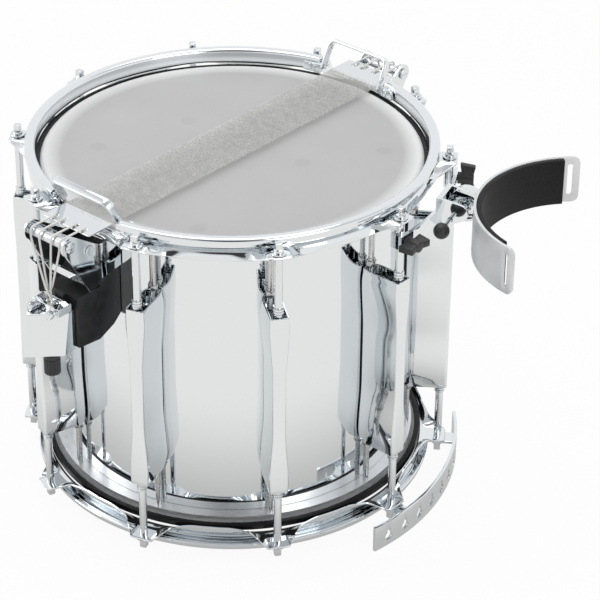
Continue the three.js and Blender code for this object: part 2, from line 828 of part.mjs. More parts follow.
// A roller on its axle, with a screw head outside each side plate
function makeRoller() {
  const outside = cheekInside + cheekThickness + seatGap;
  const end = outside + axleHeadThickness;
  const half = [
    [axleHeadRadius, end],
    [axleHeadRadius, outside],
    [axleRadius, outside],
    [axleRadius, cheekInside - seatGap],
    [rollerRadius, cheekInside - seatGap],
  ];
  const mirrored = half.map(([radius, side]) => [radius, -side]).reverse();
  const body = turned([[0, end], ...half, ...mirrored, [0, -end]], rollerSides);
  return body.rotate([90, 0, 0]).translate([rollerReach, 0, rollerHeight]);
}

// The outline of a side plate that carries a roller in its nose
function cheekOutline(back) {
  const nose = arc(rollerReach, rollerHeight, cheekNoseRadius, cheekNoseStartAngle, cheekNoseEndAngle, 8);
  return [...back, [cheekTipReach, cheekTipHeight], ...nose];
}

const axleHole = () =>
  bore(rollerReach, rollerHeight, axleRadius + runningGap, -plateHalfWidth, plateHalfWidth, 'y');

// Two side plates, one each side of the snare line
function cheekPair(outline, inside, thickness) {
  return [pushed(outline, inside, inside + thickness, 'y'), pushed(outline, -inside - thickness, -inside, 'y')];
}

// The throw-off frame: two side plates and a crossbar, swinging on the bracket's pivot
function makeRollerFrame() {
  const back = [[cheekBackReach, cheekTopHeight], [cheekBackReach, cheekBackFootHeight]];
  const cheeks = cheekPair(cheekOutline(back), cheekInside, cheekThickness);
  const half = cheekInside + cheekThickness / 2;
  const crossbar = block(
    crossbarReach, -half, crossbarHeight,
    crossbarReach + crossbarThickness, half, crossbarHeight + crossbarDepth,
  );
  const pivotHole = bore(pivotReach, pivotHeight, pivotRadius + runningGap, -plateHalfWidth, plateHalfWidth, 'y');
  return cut(join(crossbar, ...cheeks), axleHole(), pivotHole);
}

// The fixed bracket on the shell, with the pivot that carries the throw-off frame
function makeStrainerBracket() {
  const nose = arc(pivotReach, pivotHeight, bracketNoseRadius, bracketNoseStartAngle, bracketNoseEndAngle, 6);
  const outline = [
    [cheekBackReach, cheekTopHeight], [shellSeat, cheekTopHeight], [shellSeat, bracketFootHeight],
    [bracketLowReach, bracketLowHeight], ...nose,
  ];
  const cheeks = cheekPair(outline, bracketInside, bracketThickness);
  const back = block(
    shellSeat, -bracketOutside, baseStepHeight + seatGap,
    shellSeat + bracketBackThickness, bracketOutside, cheekTopHeight,
  );
  const outside = cheekInside + cheekThickness + seatGap;
  const pivot = bar(pivotReach, pivotHeight, pivotRadius, -outside - axleHeadThickness, outside, 'y');
  const heads = [
    bar(pivotReach, pivotHeight, pivotHeadRadius, outside, outside + axleHeadThickness, 'y'),
    bar(pivotReach, pivotHeight, pivotHeadRadius, -outside - axleHeadThickness, -outside, 'y'),
  ];
  return join(back, ...cheeks, pivot, ...heads);
}

// The black base: a folded housing on the shell with a guide rib for the carriage
function makeStrainerBase() {
  const housing = pushed([
    [shellSeat, baseBackHeight],
    [baseTuckReach, baseTuckHeight],
    [baseFoldReach, baseLowHeight],
    [baseFrontReach, baseFrontHeight],
    [baseFrontReach, baseTopHeight],
    [baseStepReach, baseTopHeight],
    [baseStepReach, baseStepHeight],
    [shellSeat, baseStepHeight],
  ], -baseHalfWidth, baseHalfWidth, 'y');
  const rib = block(
    baseFrontReach - overrun, -guideHalfWidth, baseFrontHeight,
    baseFrontReach + guideHeight, guideHalfWidth, baseTopHeight,
  );
  return join(housing, rib);
}

// The carriage that slides on the rib and holds the knob's thread, its front leaning in towards the top
function makeCarriage() {
  const outline = (lean, height) => [
    [carriageBack, carriageHeelSide, height],
    [carriageBack + carriageHeelDepth - lean, carriageHeelSide, height],
    [carriageBack + carriageNoseDepth - lean, carriageNoseSide, height],
    [carriageBack + carriageCornerDepth - lean, carriageCornerSide, height],
    [carriageBack, carriageBackSide, height],
  ];
  const body = skinned([outline(0, carriageLow), outline(carriageLean, carriageHigh)], false);
  const groove = block(
    carriageBack - overrun, -guideHalfWidth - runningGap, carriageLow - overrun,
    baseFrontReach + guideHeight + runningGap, guideHalfWidth + runningGap, carriageHigh + overrun,
  );
  const thread = bore(
    knobReach, knobSide, knobStemRadius + boreClearance,
    carriageLow - overrun, carriageLow + knobStemLength + overrun, 'z',
  );
  return cut(body, groove, thread);
}

// The cord clamp on top of the carriage or of the butt's shelf, with its two screws
function makeClamp() {
  const body = block(clampInnerReach, -clampHalfWidth, clampLow, clampOuterReach, clampHalfWidth, clampTop);
  const screws = [-clampScrewSide, clampScrewSide].map((side) => bar(
    side, (clampLow + clampTop) / 2, clampScrewRadius,
    clampOuterReach - overrun, clampOuterReach + clampScrewLength, 'x',
  ));
  const halfMouth = cordLayerStep + cordRadius + cordClearance;
  const mouth = block(
    clampMouthReach - halfMouth, cordCrossSide - clampMouthHalfWidth, clampTop - clampMouthDepth,
    clampMouthReach + halfMouth, cordCrossSide + clampMouthHalfWidth, clampTop + overrun,
  );
  return cut(join(body, ...screws), mouth);
}

// The knob: a fluted grip and its threaded stem
function makeKnob() {
  const outline = [];
  for (let i = 0; i < knobFlutes; i += 1) {
    const turn = (360 / knobFlutes) * i;
    outline.push(...arc(0, 0, knobRadius, turn, turn + fluteLandAngle, 1));
    outline.push(...arc(0, 0, knobRadius - knobFluteDepth, turn + fluteValleyAngle, turn + fluteValleyAngle, 1).slice(0, 1));
  }
  const top = carriageLow - seatGap;
  const grip = pushed(outline, top - knobLength, top, 'z');
  const stem = bar(0, 0, knobStemRadius, top - overrun, carriageLow + knobStemLength, 'z');
  return join(grip, stem).translate([knobReach, knobSide, 0]);
}

// The butt bracket: side plates, a back on the shell and a shelf for the clamp
function makeButtBracket() {
  const foot = clampLow - seatGap - buttShelfThickness;
  const back = [[cheekBackReach, cheekTopHeight], [shellSeat, cheekTopHeight], [shellSeat, foot]];
  const cheeks = cheekPair(cheekOutline(back), cheekInside, cheekThickness);
  const half = cheekInside + cheekThickness / 2;
  const shelfTop = clampLow - seatGap;
  const plate = block(
    shellSeat, -half, shelfTop - buttShelfThickness,
    shellSeat + bracketBackThickness, half, cheekTopHeight,
  );
  const shelf = block(shellSeat, -half, shelfTop - buttShelfThickness, buttShelfReach, half, shelfTop);
  return cut(join(plate, shelf, ...cheeks), axleHole());
}

// A guard: a bow bent from flat bar, with a screwed tab at each foot
function makeGuard(end) {
  const lean = Math.atan2(guardTopReach - guardFootReach, guardTopRise - guardFootRise);
  const tall = Math.hypot(guardTopReach - guardFootReach, guardTopRise - guardFootRise);
  const corner = (half, top, radius) => [
    [half, 0],
    ...arc(half - radius, top - radius, radius, 0, 90, 3),
    ...arc(radius - half, top - radius, radius, 90, 180, 3),
    [-half, 0],
  ];
  const outer = corner(guardHalfSpan, tall, guardCornerRadius);
  const inner = corner(guardHalfSpan - guardThickness, tall - guardThickness, guardCornerRadius - guardThickness);
  const bow = pushed([...outer, ...inner.reverse()], -guardWidth / 2, guardWidth / 2, 'x')
    .rotate([0, THREE.MathUtils.radToDeg(lean), 0])
    .translate([guardFootReach, 0, halfDepth + guardFootRise]);
  const wallInside = wallRadius - hoopThickness / 2 - guardWallGap;
  const tabOuter = Math.sqrt(wallInside ** 2 - (guardTabLength / 2) ** 2);
  const tabInner = tabOuter - guardTabThickness;
  const low = halfDepth + guardTabRise;
  const tab = block(tabInner, -guardTabLength / 2, low, tabOuter, guardTabLength / 2, low + guardTabHeight);
  const height = halfDepth + guardScrewRise;
  const nutInner = lipBendRadius + hoopThickness / 2 + seatGap;
  const screw = join(
    bar(0, height, guardScrewHeadRadius, tabInner - guardScrewHeadThickness, tabInner + seatGap, 'x'),
    bar(0, height, guardScrewRadius, tabInner, nutInner + guardNutThickness, 'x', 6),
    bar(0, height, guardNutRadius, nutInner, nutInner + guardNutThickness, 'x', 6),
  );
  const feet = [-1, 1].map((foot) =>
    placed(join(tab, screw), guardFootAngle(end, foot), 0, -end * snareLineOffset));
  return join(bow, ...feet);
}

// An arc strip about a point on X, angles measured at that point
function strip(centre, inner, outer, from, to, steps, low, high) {
  const outline = [...arc(centre, 0, outer, from, to, steps), ...arc(centre, 0, inner, to, from, steps)];
  return pushed(outline, low, high, 'z');
}

// The leg rest's mounting bar with a hook round each rod, and the hinge bracket welded to it
function makeLegMount() {
  const reach = THREE.MathUtils.radToDeg(hookHalfWidth / rodCircleRadius) + legSideAngle;
  const barBody = strip(0, barInnerRadius, barOuterRadius, -reach, reach, barSteps, barLow, barHigh);
  const middle = (barLow + barHigh) / 2;
  const hooks = [-1, 1].map((side) => {
    const hook = block(hookInnerRadius, -hookHalfWidth, barLow, barOuterRadius - seatGap, hookHalfWidth, barHigh);
    const hole = rodRadius + boreClearance;
    const mouth = block(
      rodCircleRadius - hole, side > 0 ? -hookHalfWidth - overrun : 0, barLow - overrun,
      rodCircleRadius + hole, side > 0 ? 0 : hookHalfWidth + overrun, barHigh + overrun,
    );
    const round = bore(rodCircleRadius, 0, hole, barLow - overrun, barHigh + overrun, 'z');
    return placed(cut(hook, mouth, round), side * legSideAngle);
  });
  const threads = [-1, 1].map((side) => placed(
    bore(0, middle, wingShankRadius + boreClearance, barInnerRadius - overrun, barOuterRadius + overrun, 'x'),
    side * legSideAngle,
  ));
  const foot = block(
    barOuterRadius - overrun, hingeEarLeft, barLow,
    barOuterRadius + hingeFootThickness, hingeEarRight + hingeEarThickness, hingeFootHigh,
  );
  const lockHeight = hingeHeight - lockOffset;
  const earOutline = [
    [barOuterRadius, barLow],
    [hingeReach - lockOffset, hingeHeight - lockOffset - lockWall],
    ...arc(hingeReach, hingeHeight, hingeEarNose, -45, 90, 5),
    [barOuterRadius, hingeFootHigh],
  ];
  const ears = [hingeEarLeft, hingeEarRight].map((side) => pushed(earOutline, side, side + hingeEarThickness, 'y'));
  const pin = bar(hingeReach, hingeHeight, hingePinRadius, hingeEarLeft, hingeEarRight + hingeEarThickness, 'y');
  const lockHole = bore(
    hingeReach - lockOffset, lockHeight, lockRadius + lockClearance,
    hingeEarLeft - overrun, hingeEarRight + hingeEarThickness + overrun, 'y',
  );
  return cut(join(barBody, ...hooks, foot, ...ears, pin), ...threads, lockHole);
}

// What a rounded corner leaves off, for the corner on one side of an edge that ends at 0
function cornerOutline(side, up, edge, radius) {
  const heart = edge - up * radius;
  const around = arc(-radius, 0, radius, 90, 0, 4);
  const outline = [...around, [overrun, 0], [overrun, radius + overrun], [-radius, radius + overrun]];
  return outline.map(([along, rise]) => [side * along, heart + up * rise]);
}

// The leg rest's curved plate, with a strap slot at each end and the hinge knuckle behind it
function makeLegPlate() {
  const inner = legArcRadius - legPlateThickness;
  const first = 180 - legArcHalfAngle;
  const last = 180 + legArcHalfAngle;
  const plate = strip(legArcCentre, inner, legArcRadius, first, last, 16, legPlateLow, legPlateHigh);
  const cutters = [];
  for (const side of [-1, 1]) {
    const slotTurn = 180 + side * (legArcHalfAngle - legSlotInsetAngle);
    const slot = block(
      inner - overrun, -legSlotWidth / 2, hingeHeight - legSlotHeight / 2,
      legArcRadius + overrun, legSlotWidth / 2, hingeHeight + legSlotHeight / 2,
    );
    cutters.push(placed(slot, slotTurn, legArcCentre));
    const endTurn = 180 + side * legArcHalfAngle;
    for (const [edge, up] of [[legPlateLow, -1], [legPlateHigh, 1]]) {
      const outline = cornerOutline(side, up, edge, legCornerRadius);
      cutters.push(placed(pushed(outline, inner - overrun, legArcRadius + overrun, 'x'), endTurn, legArcCentre));
    }
  }
  const backReach = hingeReach + legPlateInset;
  const knuckle = join(
    bar(hingeReach, hingeHeight, knuckleRadius, knuckleLeft, knuckleRight, 'y', 20),
    block(
      hingeReach, knuckleLeft, hingeHeight - knuckleNeck,
      backReach + legPlateThickness / 2, knuckleRight, hingeHeight + knuckleNeck,
    ),
  );
  const pinHole = bore(hingeReach, hingeHeight, hingePinRadius + runningGap, knuckleLeft - overrun, knuckleRight + overrun, 'y');
  return cut(join(plate, knuckle), pinHole, lockSlot(), ...cutters);
}

// The curved slot in the knuckle that the lock pin runs in while the plate folds
function lockSlot() {
  const radius = Math.hypot(lockOffset, lockOffset);
  const half = lockRadius + lockClearance;
  const from = lockRestAngle - lockSlotMarginAngle;
  const to = lockRestAngle + foldRange + lockSlotMarginAngle;
  const outline = [
    ...arc(hingeReach, hingeHeight, radius + half, from, to, 8),
    ...arc(hingeReach, hingeHeight, radius - half, to, from, 8),
  ];
  return pushed(outline, knuckleLeft - overrun, knuckleRight + overrun, 'y');
}

// The foam pad on the inside of the plate
function makeLegPad() {
  const outer = legArcRadius - legPlateThickness - seatGap;
  return strip(
    legArcCentre, outer - padThickness, outer, 180 - padHalfAngle, 180 + padHalfAngle, 14,
    legPlateLow + seatGap, legPlateHigh - seatGap,
  );
}

// The lock pin with its collar and ball handle, lying along Y
function makeLockPin() {
  const collarRight = lockCollarLeft + lockCollarThickness;
  const ballPoints = arc(0, lockHandleLeft, ballRadius, -90, 70, 8).map(([radius, side]) => [Math.max(radius, 0), side]);
  const pin = turned([
    [0, lockHandleLeft - ballRadius],
    ...ballPoints.slice(1),
    [lockRadius, lockHandleLeft + ballRadius],
    [lockRadius, lockCollarLeft],
    [lockCollarRadius, lockCollarLeft],
    [lockCollarRadius, collarRight],
    [lockRadius, collarRight],
    [lockRadius, lockTipEnd],
    [0, lockTipEnd],
  ], 10);
  return pin.rotate([-90, 0, 0]).translate([hingeReach - lockOffset, 0, hingeHeight - lockOffset]);
}

// The spring between the left ear and the collar of the lock pin
function makeLockSpring() {
  const start = hingeEarLeft + hingeEarThickness + seatGap + springWireRadius;
  const end = lockCollarLeft - seatGap - springWireRadius;
  const steps = springCurls * springStepsPerCurl;
  const centre = Array.from({ length: steps + 1 }, (_, i) => {
    const angle = (i / springStepsPerCurl) * Math.PI * 2;
    return new THREE.Vector3(
      hingeReach - lockOffset + springRadius * Math.cos(angle),
      start + ((end - start) * i) / steps,
      hingeHeight - lockOffset + springRadius * Math.sin(angle),
    );
  });
  const reach = springRadius * Math.PI;
  console.log('lock_spring least gap to itself', leastSelfGap(centre, springWireRadius, reach).toFixed(2), 'mm');
  return tube(centre, springWireRadius, springSides);
}

// A wing screw, its axis along X
function makeWingScrew(upright) {
  const tip = rodCircleRadius + rodRadius + seatGap;
  const height = (barLow + barHigh) / 2;
  const hub = join(
    bar(0, 0, wingShankRadius, tip, wingHubOuter, 'x'),
    bar(0, 0, wingHubRadius, wingHubInner, wingHubOuter, 'x'),
  );
  const waist = wingHubRadius * 0.8;
  const wings = pushed([
    [wingInner, -waist], [wingOuter - wingHubRadius / 2, -wingSpan / 2], [wingOuter, -wingSpan / 2],
    [wingOuter - wingHubRadius / 3, 0], [wingOuter, wingSpan / 2], [wingOuter - wingHubRadius / 2, wingSpan / 2],
    [wingInner, waist],
  ], -wingThickness / 2, wingThickness / 2, 'z');
  return join(hub, wings).rotate([upright ? 90 : 0, 0, 0]).translate([0, 0, height]);
}

// The carrying rail: a curved bar with nine keyholes and an arm under each of two ears
function makeRail() {
  const inner = railArcRadius - railThickness;
  const body = strip(-railArcSetback, inner, railArcRadius, -railHalfAngle, railHalfAngle, railSteps, railLow, railHigh);
  const hole = railLow + keyholeRise;
  const halfSlot = keyholeSlotWidth / 2;
  const keyhole = pushed([
    ...arc(0, hole, keyholeRadius, keyholeStartAngle, keyholeEndAngle, 7),
    [halfSlot, hole + keyholeSlotRise], [-halfSlot, hole + keyholeSlotRise],
  ], inner - overrun, railArcRadius + overrun, 'x');
  const keyholes = Array.from({ length: keyholeCount }, (_, i) => {
    const share = (i / (keyholeCount - 1)) * 2 - 1;
    return placed(keyhole, share * railHalfAngle * keyholeSpanShare, -railArcSetback);
  });
  const armTop = -earUnderside;
  const arms = [-1, 1].map((side) => {
    const arm = block(
      armInnerRadius, -armHalfWidth, -earTop - seatGap - armThickness,
      railArcRadius - railArcSetback - railThickness / 2, armHalfWidth, -earTop - seatGap,
    );
    const rodHole = bore(rodCircleRadius, 0, rodRadius + rodHoleClearance, -earTop - armThickness * 2, armTop, 'z');
    return placed(cut(arm, rodHole), side * legSideAngle);
  });
  return cut(join(body, ...arms), ...keyholes);
}

// A group whose X points outward at an angle round the drum
function station(angle, offset = 0) {
  const group = new THREE.Group();
  const turn = radians(angle);
  group.rotation.z = turn;
  group.position.set(-Math.sin(turn) * offset, Math.cos(turn) * offset, 0);
  return group;
}

const drum = new THREE.Group();
drum.position.z = halfDepth;

// Body
const hoop = makeHoop();
drum.add(piece('shell', makeShell(), chrome));
drum.add(piece('snare_edge_ring', makeEdgeRing(), chrome));
drum.add(piece('batter_edge_ring', flipped(makeEdgeRing()), chrome));
drum.add(piece('snare_head', makeHead(), film));
drum.add(piece('batter_head', flipped(makeHead()), film));
drum.add(piece('snare_hoop', cut(hoop, ...gateTools()), chrome));
drum.add(piece('batter_hoop', flipped(hoop), chrome));

// Lugs and rods; the rail's arms lie under the first two ears of the batter hoop
const lug = makeLug();
const snareRod = makeRod(earTop + seatGap);
const batterRod = flipped(snareRod);
const railRod = flipped(makeRod(earTop + seatGap * 2 + armThickness));
for (let i = 0; i < lugCount; i += 1) {
  const place = station(i * lugStep);
  const underRail = i * lugStep === 0 || i * lugStep === lugStep;
  place.add(piece(`lug_${i}`, lug, chrome));
  for (const [name, body] of [['snare_rod', snareRod], ['batter_rod', underRail ? railRod : batterRod]]) {
    const rod = piece(`${name}_${i}`, body.translate([0, 0, 0]), chrome);
    rod.position.x = rodCircleRadius;
    place.add(rod);
  }
  drum.add(place);
}

// Snare line: wires, then the strainer and the butt at its two ends
const strainerSide = station(strainerAngle, snareLineOffset);
const buttSide = station(buttAngle, -snareLineOffset);
strainerSide.add(piece('snare_wires', makeSnareWires(), satinSteel));
strainerSide.add(piece('front_cord', makeCord('front_cord'), whiteCord));
strainerSide.add(piece('front_guard', makeGuard(1), chrome));
strainerSide.add(piece('strainer_base', makeStrainerBase(), blackPlastic));
strainerSide.add(piece('strainer_bracket', makeStrainerBracket(), chrome));
strainerSide.add(piece('roller_frame', makeRollerFrame(), chrome));
strainerSide.add(piece('front_roller', makeRoller(), chrome));
strainerSide.add(piece('carriage', makeCarriage(), chrome));
strainerSide.add(piece('cord_clamp', makeClamp(), chrome));
strainerSide.add(piece('strainer_knob', makeKnob(), blackPlastic));
buttSide.add(piece('rear_cord', makeCord('rear_cord'), whiteCord));
buttSide.add(piece('rear_guard', makeGuard(-1), chrome));
buttSide.add(piece('butt_bracket', makeButtBracket(), chrome));
buttSide.add(piece('rear_roller', makeRoller(), chrome));
buttSide.add(piece('rear_clamp', makeClamp(), chrome));
drum.add(strainerSide, buttSide);

// Leg rest and carrying rail, between the first two lugs
const legSide = station(legSideAngle);
legSide.add(piece('leg_rest_mount', makeLegMount(), chrome));
legSide.add(piece('leg_plate', makeLegPlate(), paintedSteel));
legSide.add(piece('leg_pad', makeLegPad(), foam));
legSide.add(piece('lock_pin', makeLockPin(), blackPlastic));
legSide.add(piece('lock_spring', makeLockSpring(), satinSteel));
[['wing_screw_left', -1, false], ['wing_screw_right', 1, true]].forEach(([name, side, upright]) => {
  const turn = station(side * legSideAngle);
  turn.add(piece(name, makeWingScrew(upright), blackPlastic));
  legSide.add(turn);
});
legSide.add(piece('carry_rail', makeRail(), chrome));
drum.add(legSide);

const snareDrum = new THREE.Group();
snareDrum.add(drum);

export default snareDrum;
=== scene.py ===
import json
from math import asin, atan2, cos, degrees, hypot, pi, radians, sin, sqrt

import bmesh
import bpy
from mathutils import Matrix, Vector


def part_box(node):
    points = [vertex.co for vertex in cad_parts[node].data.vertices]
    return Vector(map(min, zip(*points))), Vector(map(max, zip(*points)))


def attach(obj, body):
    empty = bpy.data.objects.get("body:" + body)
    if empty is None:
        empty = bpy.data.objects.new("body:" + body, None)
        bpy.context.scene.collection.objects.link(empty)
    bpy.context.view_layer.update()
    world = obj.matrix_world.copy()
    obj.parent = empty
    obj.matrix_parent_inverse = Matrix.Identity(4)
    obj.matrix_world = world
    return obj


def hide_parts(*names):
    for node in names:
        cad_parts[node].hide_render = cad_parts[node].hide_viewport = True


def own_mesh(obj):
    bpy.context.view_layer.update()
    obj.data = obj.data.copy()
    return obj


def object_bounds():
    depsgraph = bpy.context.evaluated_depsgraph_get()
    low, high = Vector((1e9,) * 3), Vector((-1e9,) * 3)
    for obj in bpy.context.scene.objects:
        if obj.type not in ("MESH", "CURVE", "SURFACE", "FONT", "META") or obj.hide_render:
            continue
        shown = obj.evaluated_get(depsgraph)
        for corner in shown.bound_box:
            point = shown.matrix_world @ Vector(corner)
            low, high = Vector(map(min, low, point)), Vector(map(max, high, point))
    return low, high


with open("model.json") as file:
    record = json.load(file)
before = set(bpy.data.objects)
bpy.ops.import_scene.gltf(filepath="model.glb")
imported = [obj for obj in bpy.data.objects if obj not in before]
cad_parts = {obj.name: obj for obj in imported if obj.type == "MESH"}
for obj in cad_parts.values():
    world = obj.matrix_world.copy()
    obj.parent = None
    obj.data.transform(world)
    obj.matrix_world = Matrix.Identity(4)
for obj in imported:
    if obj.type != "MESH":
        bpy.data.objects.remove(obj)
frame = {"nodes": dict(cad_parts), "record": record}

# A marching snare drum, snare side up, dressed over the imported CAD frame.
# Pieces are drawn in millimetres about the drum's middle and settled in metres.
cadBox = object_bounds()
scene = bpy.context.scene
mm = 0.001
body = {node: name for name, nodes in frame["record"]["behaviour"]["bodies"].items() for node in nodes}
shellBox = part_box("shell")
middle = (shellBox[0].z + shellBox[1].z) / 2
floorHeight = cadBox[0].z


# Camera, at the photograph's place

view = dict(turn=-48.997, height=31.556, roll=0.565, distance=2382.7, right=63.92, up=-9.96, lens=148.9,
            sensor=36, nearest=0.05)


def makeCamera():
    turn, height, roll = (radians(view[name]) for name in ("turn", "height", "roll"))
    back = Vector((cos(turn) * cos(height), sin(turn) * cos(height), sin(height)))
    right = Vector((0, 0, 1)).cross(back).normalized()
    up = back.cross(right)
    right, up = right * cos(roll) + up * sin(roll), up * cos(roll) - right * sin(roll)
    place = Vector((0, 0, middle)) + mm * (back * view["distance"] + right * view["right"] + up * view["up"])
    data = bpy.data.cameras.new("camera")
    data.lens = view["lens"]
    data.sensor_width = view["sensor"]
    data.clip_start = view["nearest"]
    camera = bpy.data.objects.new("camera", data)
    camera.matrix_world = Matrix.Translation(place) @ Matrix((right, up, back)).transposed().to_4x4()
    scene.collection.objects.link(camera)
    scene.camera = camera


makeCamera()
print("camera set")


# Materials

def linear(hexColour):
    # sRGB hex to linear red, green, blue and alpha
    parts = [int(hexColour[i:i + 2], 16) / 255 for i in (0, 2, 4)]
    return [p / 12.92 if p <= 0.04045 else ((p + 0.055) / 1.055) ** 2.4 for p in parts] + [1]


def addNode(tree, kind, settings=None, links=None):
    # A node with its settings, by property or by socket, and its links
    node = tree.nodes.new(kind)
    for name, value in (settings or {}).items():
        if isinstance(name, str) and hasattr(node, name):
            setattr(node, name, value)
        else:
            node.inputs[name].default_value = value
    for name, socket in (links or {}).items():
        tree.links.new(socket, node.inputs[name])
    return node


def perMetre(millimetres):
    # The scale that gives a pattern this feature size
    return 1 / (millimetres * mm)


def startMaterial(name, **sockets):
    material = bpy.data.materials.new(name)
    material.use_nodes = True
    tree = material.node_tree
    shader = tree.nodes["Principled BSDF"]
    for socket, value in sockets.items():
        shader.inputs[socket.replace("_", " ")].default_value = value
    coords = addNode(tree, "ShaderNodeTexCoord").outputs["Object"]
    return material, tree, shader, coords


def addRoughness(tree, shader, coords, size, low, high):
    # Roughness that wanders between two values over patches of a size in millimetres
    noise = addNode(tree, "ShaderNodeTexNoise", {"Scale": perMetre(size), "Detail": 3}, {"Vector": coords})
    spread = addNode(tree, "ShaderNodeMapRange",
                     {"From Min": 0.3, "From Max": 0.7, "To Min": low, "To Max": high},
                     {"Value": noise.outputs["Fac"]})
    tree.links.new(spread.outputs["Result"], shader.inputs["Roughness"])


def addGrain(tree, shader, coords, size, depth):
    # Relief from grains of a size and depth in millimetres
    noise = addNode(tree, "ShaderNodeTexNoise", {"Scale": perMetre(size), "Detail": 2}, {"Vector": coords})
    bump = addNode(tree, "ShaderNodeBump", {"Strength": 1.0, "Distance": depth * mm},
                   {"Height": noise.outputs["Fac"]})
    tree.links.new(bump.outputs["Normal"], shader.inputs["Normal"])


def addShades(tree, shader, coords, size, dark, light):
    # Two near shades in patches of a size in millimetres
    noise = addNode(tree, "ShaderNodeTexNoise", {"Scale": perMetre(size), "Detail": 4}, {"Vector": coords})
    ramp = addNode(tree, "ShaderNodeValToRGB", {}, {"Fac": noise.outputs["Fac"]})
    for stop, (place, colour) in zip(ramp.color_ramp.elements, ((0.35, dark), (0.65, light))):
        stop.position = place
        stop.color = linear(colour)
    tree.links.new(ramp.outputs["Color"], shader.inputs["Base Color"])


def makeChrome(name="bright_chrome_plate", low=0.02, high=0.07, tone="e2e6e9", orange=0.0006):
    # Bright chrome plate, buffed and dipped: mirror sharp, with faint wipe marks and the least orange peel
    material, tree, shader, coords = startMaterial(name, Metallic=1.0, Base_Color=linear(tone))
    addRoughness(tree, shader, coords, 26, low, high)
    addGrain(tree, shader, coords, 9, orange)
    return material


def makeZincSteel():
    # Zinc plated steel studs, nuts and shanks, tumbled: greyer and softer than the chrome
    material, tree, shader, coords = startMaterial("zinc_plated_steel", Metallic=1.0)
    addShades(tree, shader, coords, 9, "bfc0c1", "cfd0d0")
    addRoughness(tree, shader, coords, 4, 0.18, 0.34)
    return material


def makeSatinAluminium():
    # Turned aluminium under satin chrome: the lathe marks spread each reflection into a soft silver
    material, tree, shader, coords = startMaterial("satin_turned_aluminium", Metallic=0.8,
                                                   Base_Color=linear("f3f4f5"))
    addRoughness(tree, shader, coords, 10, 0.3, 0.42)
    return material


def makeSpringSteel():
    # Drawn spring wire, bright nickel on steel, with the draw marks dulling it a little
    material, tree, shader, coords = startMaterial("drawn_spring_steel", Metallic=1.0)
    addShades(tree, shader, coords, 6, "d2d2cf", "e4e4e2")
    addRoughness(tree, shader, coords, 2, 0.2, 0.36)
    return material


filmSizes = dict(hazeSize=60, collarFrom=0.158, collarTo=0.172, shadowCore=0.006, shadowRim=0.009, shadowTone=0.16)
# Where the painted shadows of fasteners inside lie on the film: millimetres from the middle, and degrees
fastenerShadows = ((125, -140), (71, 169), (142, -90), (70, 20), (88, 81), (141, 41), (149, -59))


def makeFilm():
    # Hazy polyester drum film: pale grey, satin, lighter where the collar bends over the edge, with painted
    # shadows of the fasteners inside
    s = filmSizes
    material, tree, shader, coords = startMaterial("hazy_polyester_film", Roughness=0.42, Coat_Weight=0.12,
                                                   Coat_Roughness=0.3)
    flat = addNode(tree, "ShaderNodeVectorMath", {"operation": "MULTIPLY", 1: (1, 1, 0)}, {0: coords})
    reach = addNode(tree, "ShaderNodeVectorMath", {"operation": "LENGTH"}, {0: flat.outputs["Vector"]})
    ramp = addNode(tree, "ShaderNodeMapRange", {"From Min": s["collarFrom"], "From Max": s["collarTo"]},
                   {"Value": reach.outputs["Value"]})
    haze = addNode(tree, "ShaderNodeTexNoise", {"Scale": perMetre(s["hazeSize"]), "Detail": 5},
                   {"Vector": coords})
    shade = addNode(tree, "ShaderNodeMix", {"data_type": "RGBA"}, {"Factor": haze.outputs["Fac"]})
    shade.inputs[6].default_value = linear("b3b3b3")
    shade.inputs[7].default_value = linear("bdbdbd")
    colour = shade.outputs[2]
    for radius, turn in fastenerShadows:
        # Painted shadows: faint grey discs where fasteners inside dim the light behind the film
        heart = (radius * mm * cos(radians(turn)), radius * mm * sin(radians(turn)), 0)
        spot = addNode(tree, "ShaderNodeVectorMath", {"operation": "DISTANCE", 1: heart},
                       {0: flat.outputs["Vector"]})
        soft = addNode(tree, "ShaderNodeMapRange", {
            "From Min": s["shadowCore"], "From Max": s["shadowRim"], "To Min": s["shadowTone"], "To Max": 0.0},
            {"Value": spot.outputs["Value"]})
        dim = addNode(tree, "ShaderNodeMix", {"data_type": "RGBA"},
                      {"Factor": soft.outputs["Result"], 6: colour})
        dim.inputs[7].default_value = linear("8f8f8f")
        colour = dim.outputs[2]
    collar = addNode(tree, "ShaderNodeMix", {"data_type": "RGBA"},
                     {"Factor": ramp.outputs["Result"], 6: colour})
    collar.inputs[7].default_value = linear("e9e9e9")
    tree.links.new(collar.outputs[2], shader.inputs["Base Color"])
    addGrain(tree, shader, coords, 1.2, 0.02)
    return material


def makeBlackAluminium():
    # Black anodised aluminium, blasted matt: deep black with the faintest sheen
    material, tree, shader, coords = startMaterial("black_anodised_aluminium", IOR=1.3)
    addShades(tree, shader, coords, 14, "060607", "0e0e10")
    addRoughness(tree, shader, coords, 8, 0.34, 0.5)
    return material


def makeBlackPlastic():
    # Black moulded ABS: charcoal rather than black, its fine spark grain worn shinier in patches
    material, tree, shader, coords = startMaterial("black_moulded_abs", IOR=1.53)
    addShades(tree, shader, coords, 10, "1f1f20", "29292b")
    addRoughness(tree, shader, coords, 5, 0.38, 0.52)
    addGrain(tree, shader, coords, 0.6, 0.02)
    return material


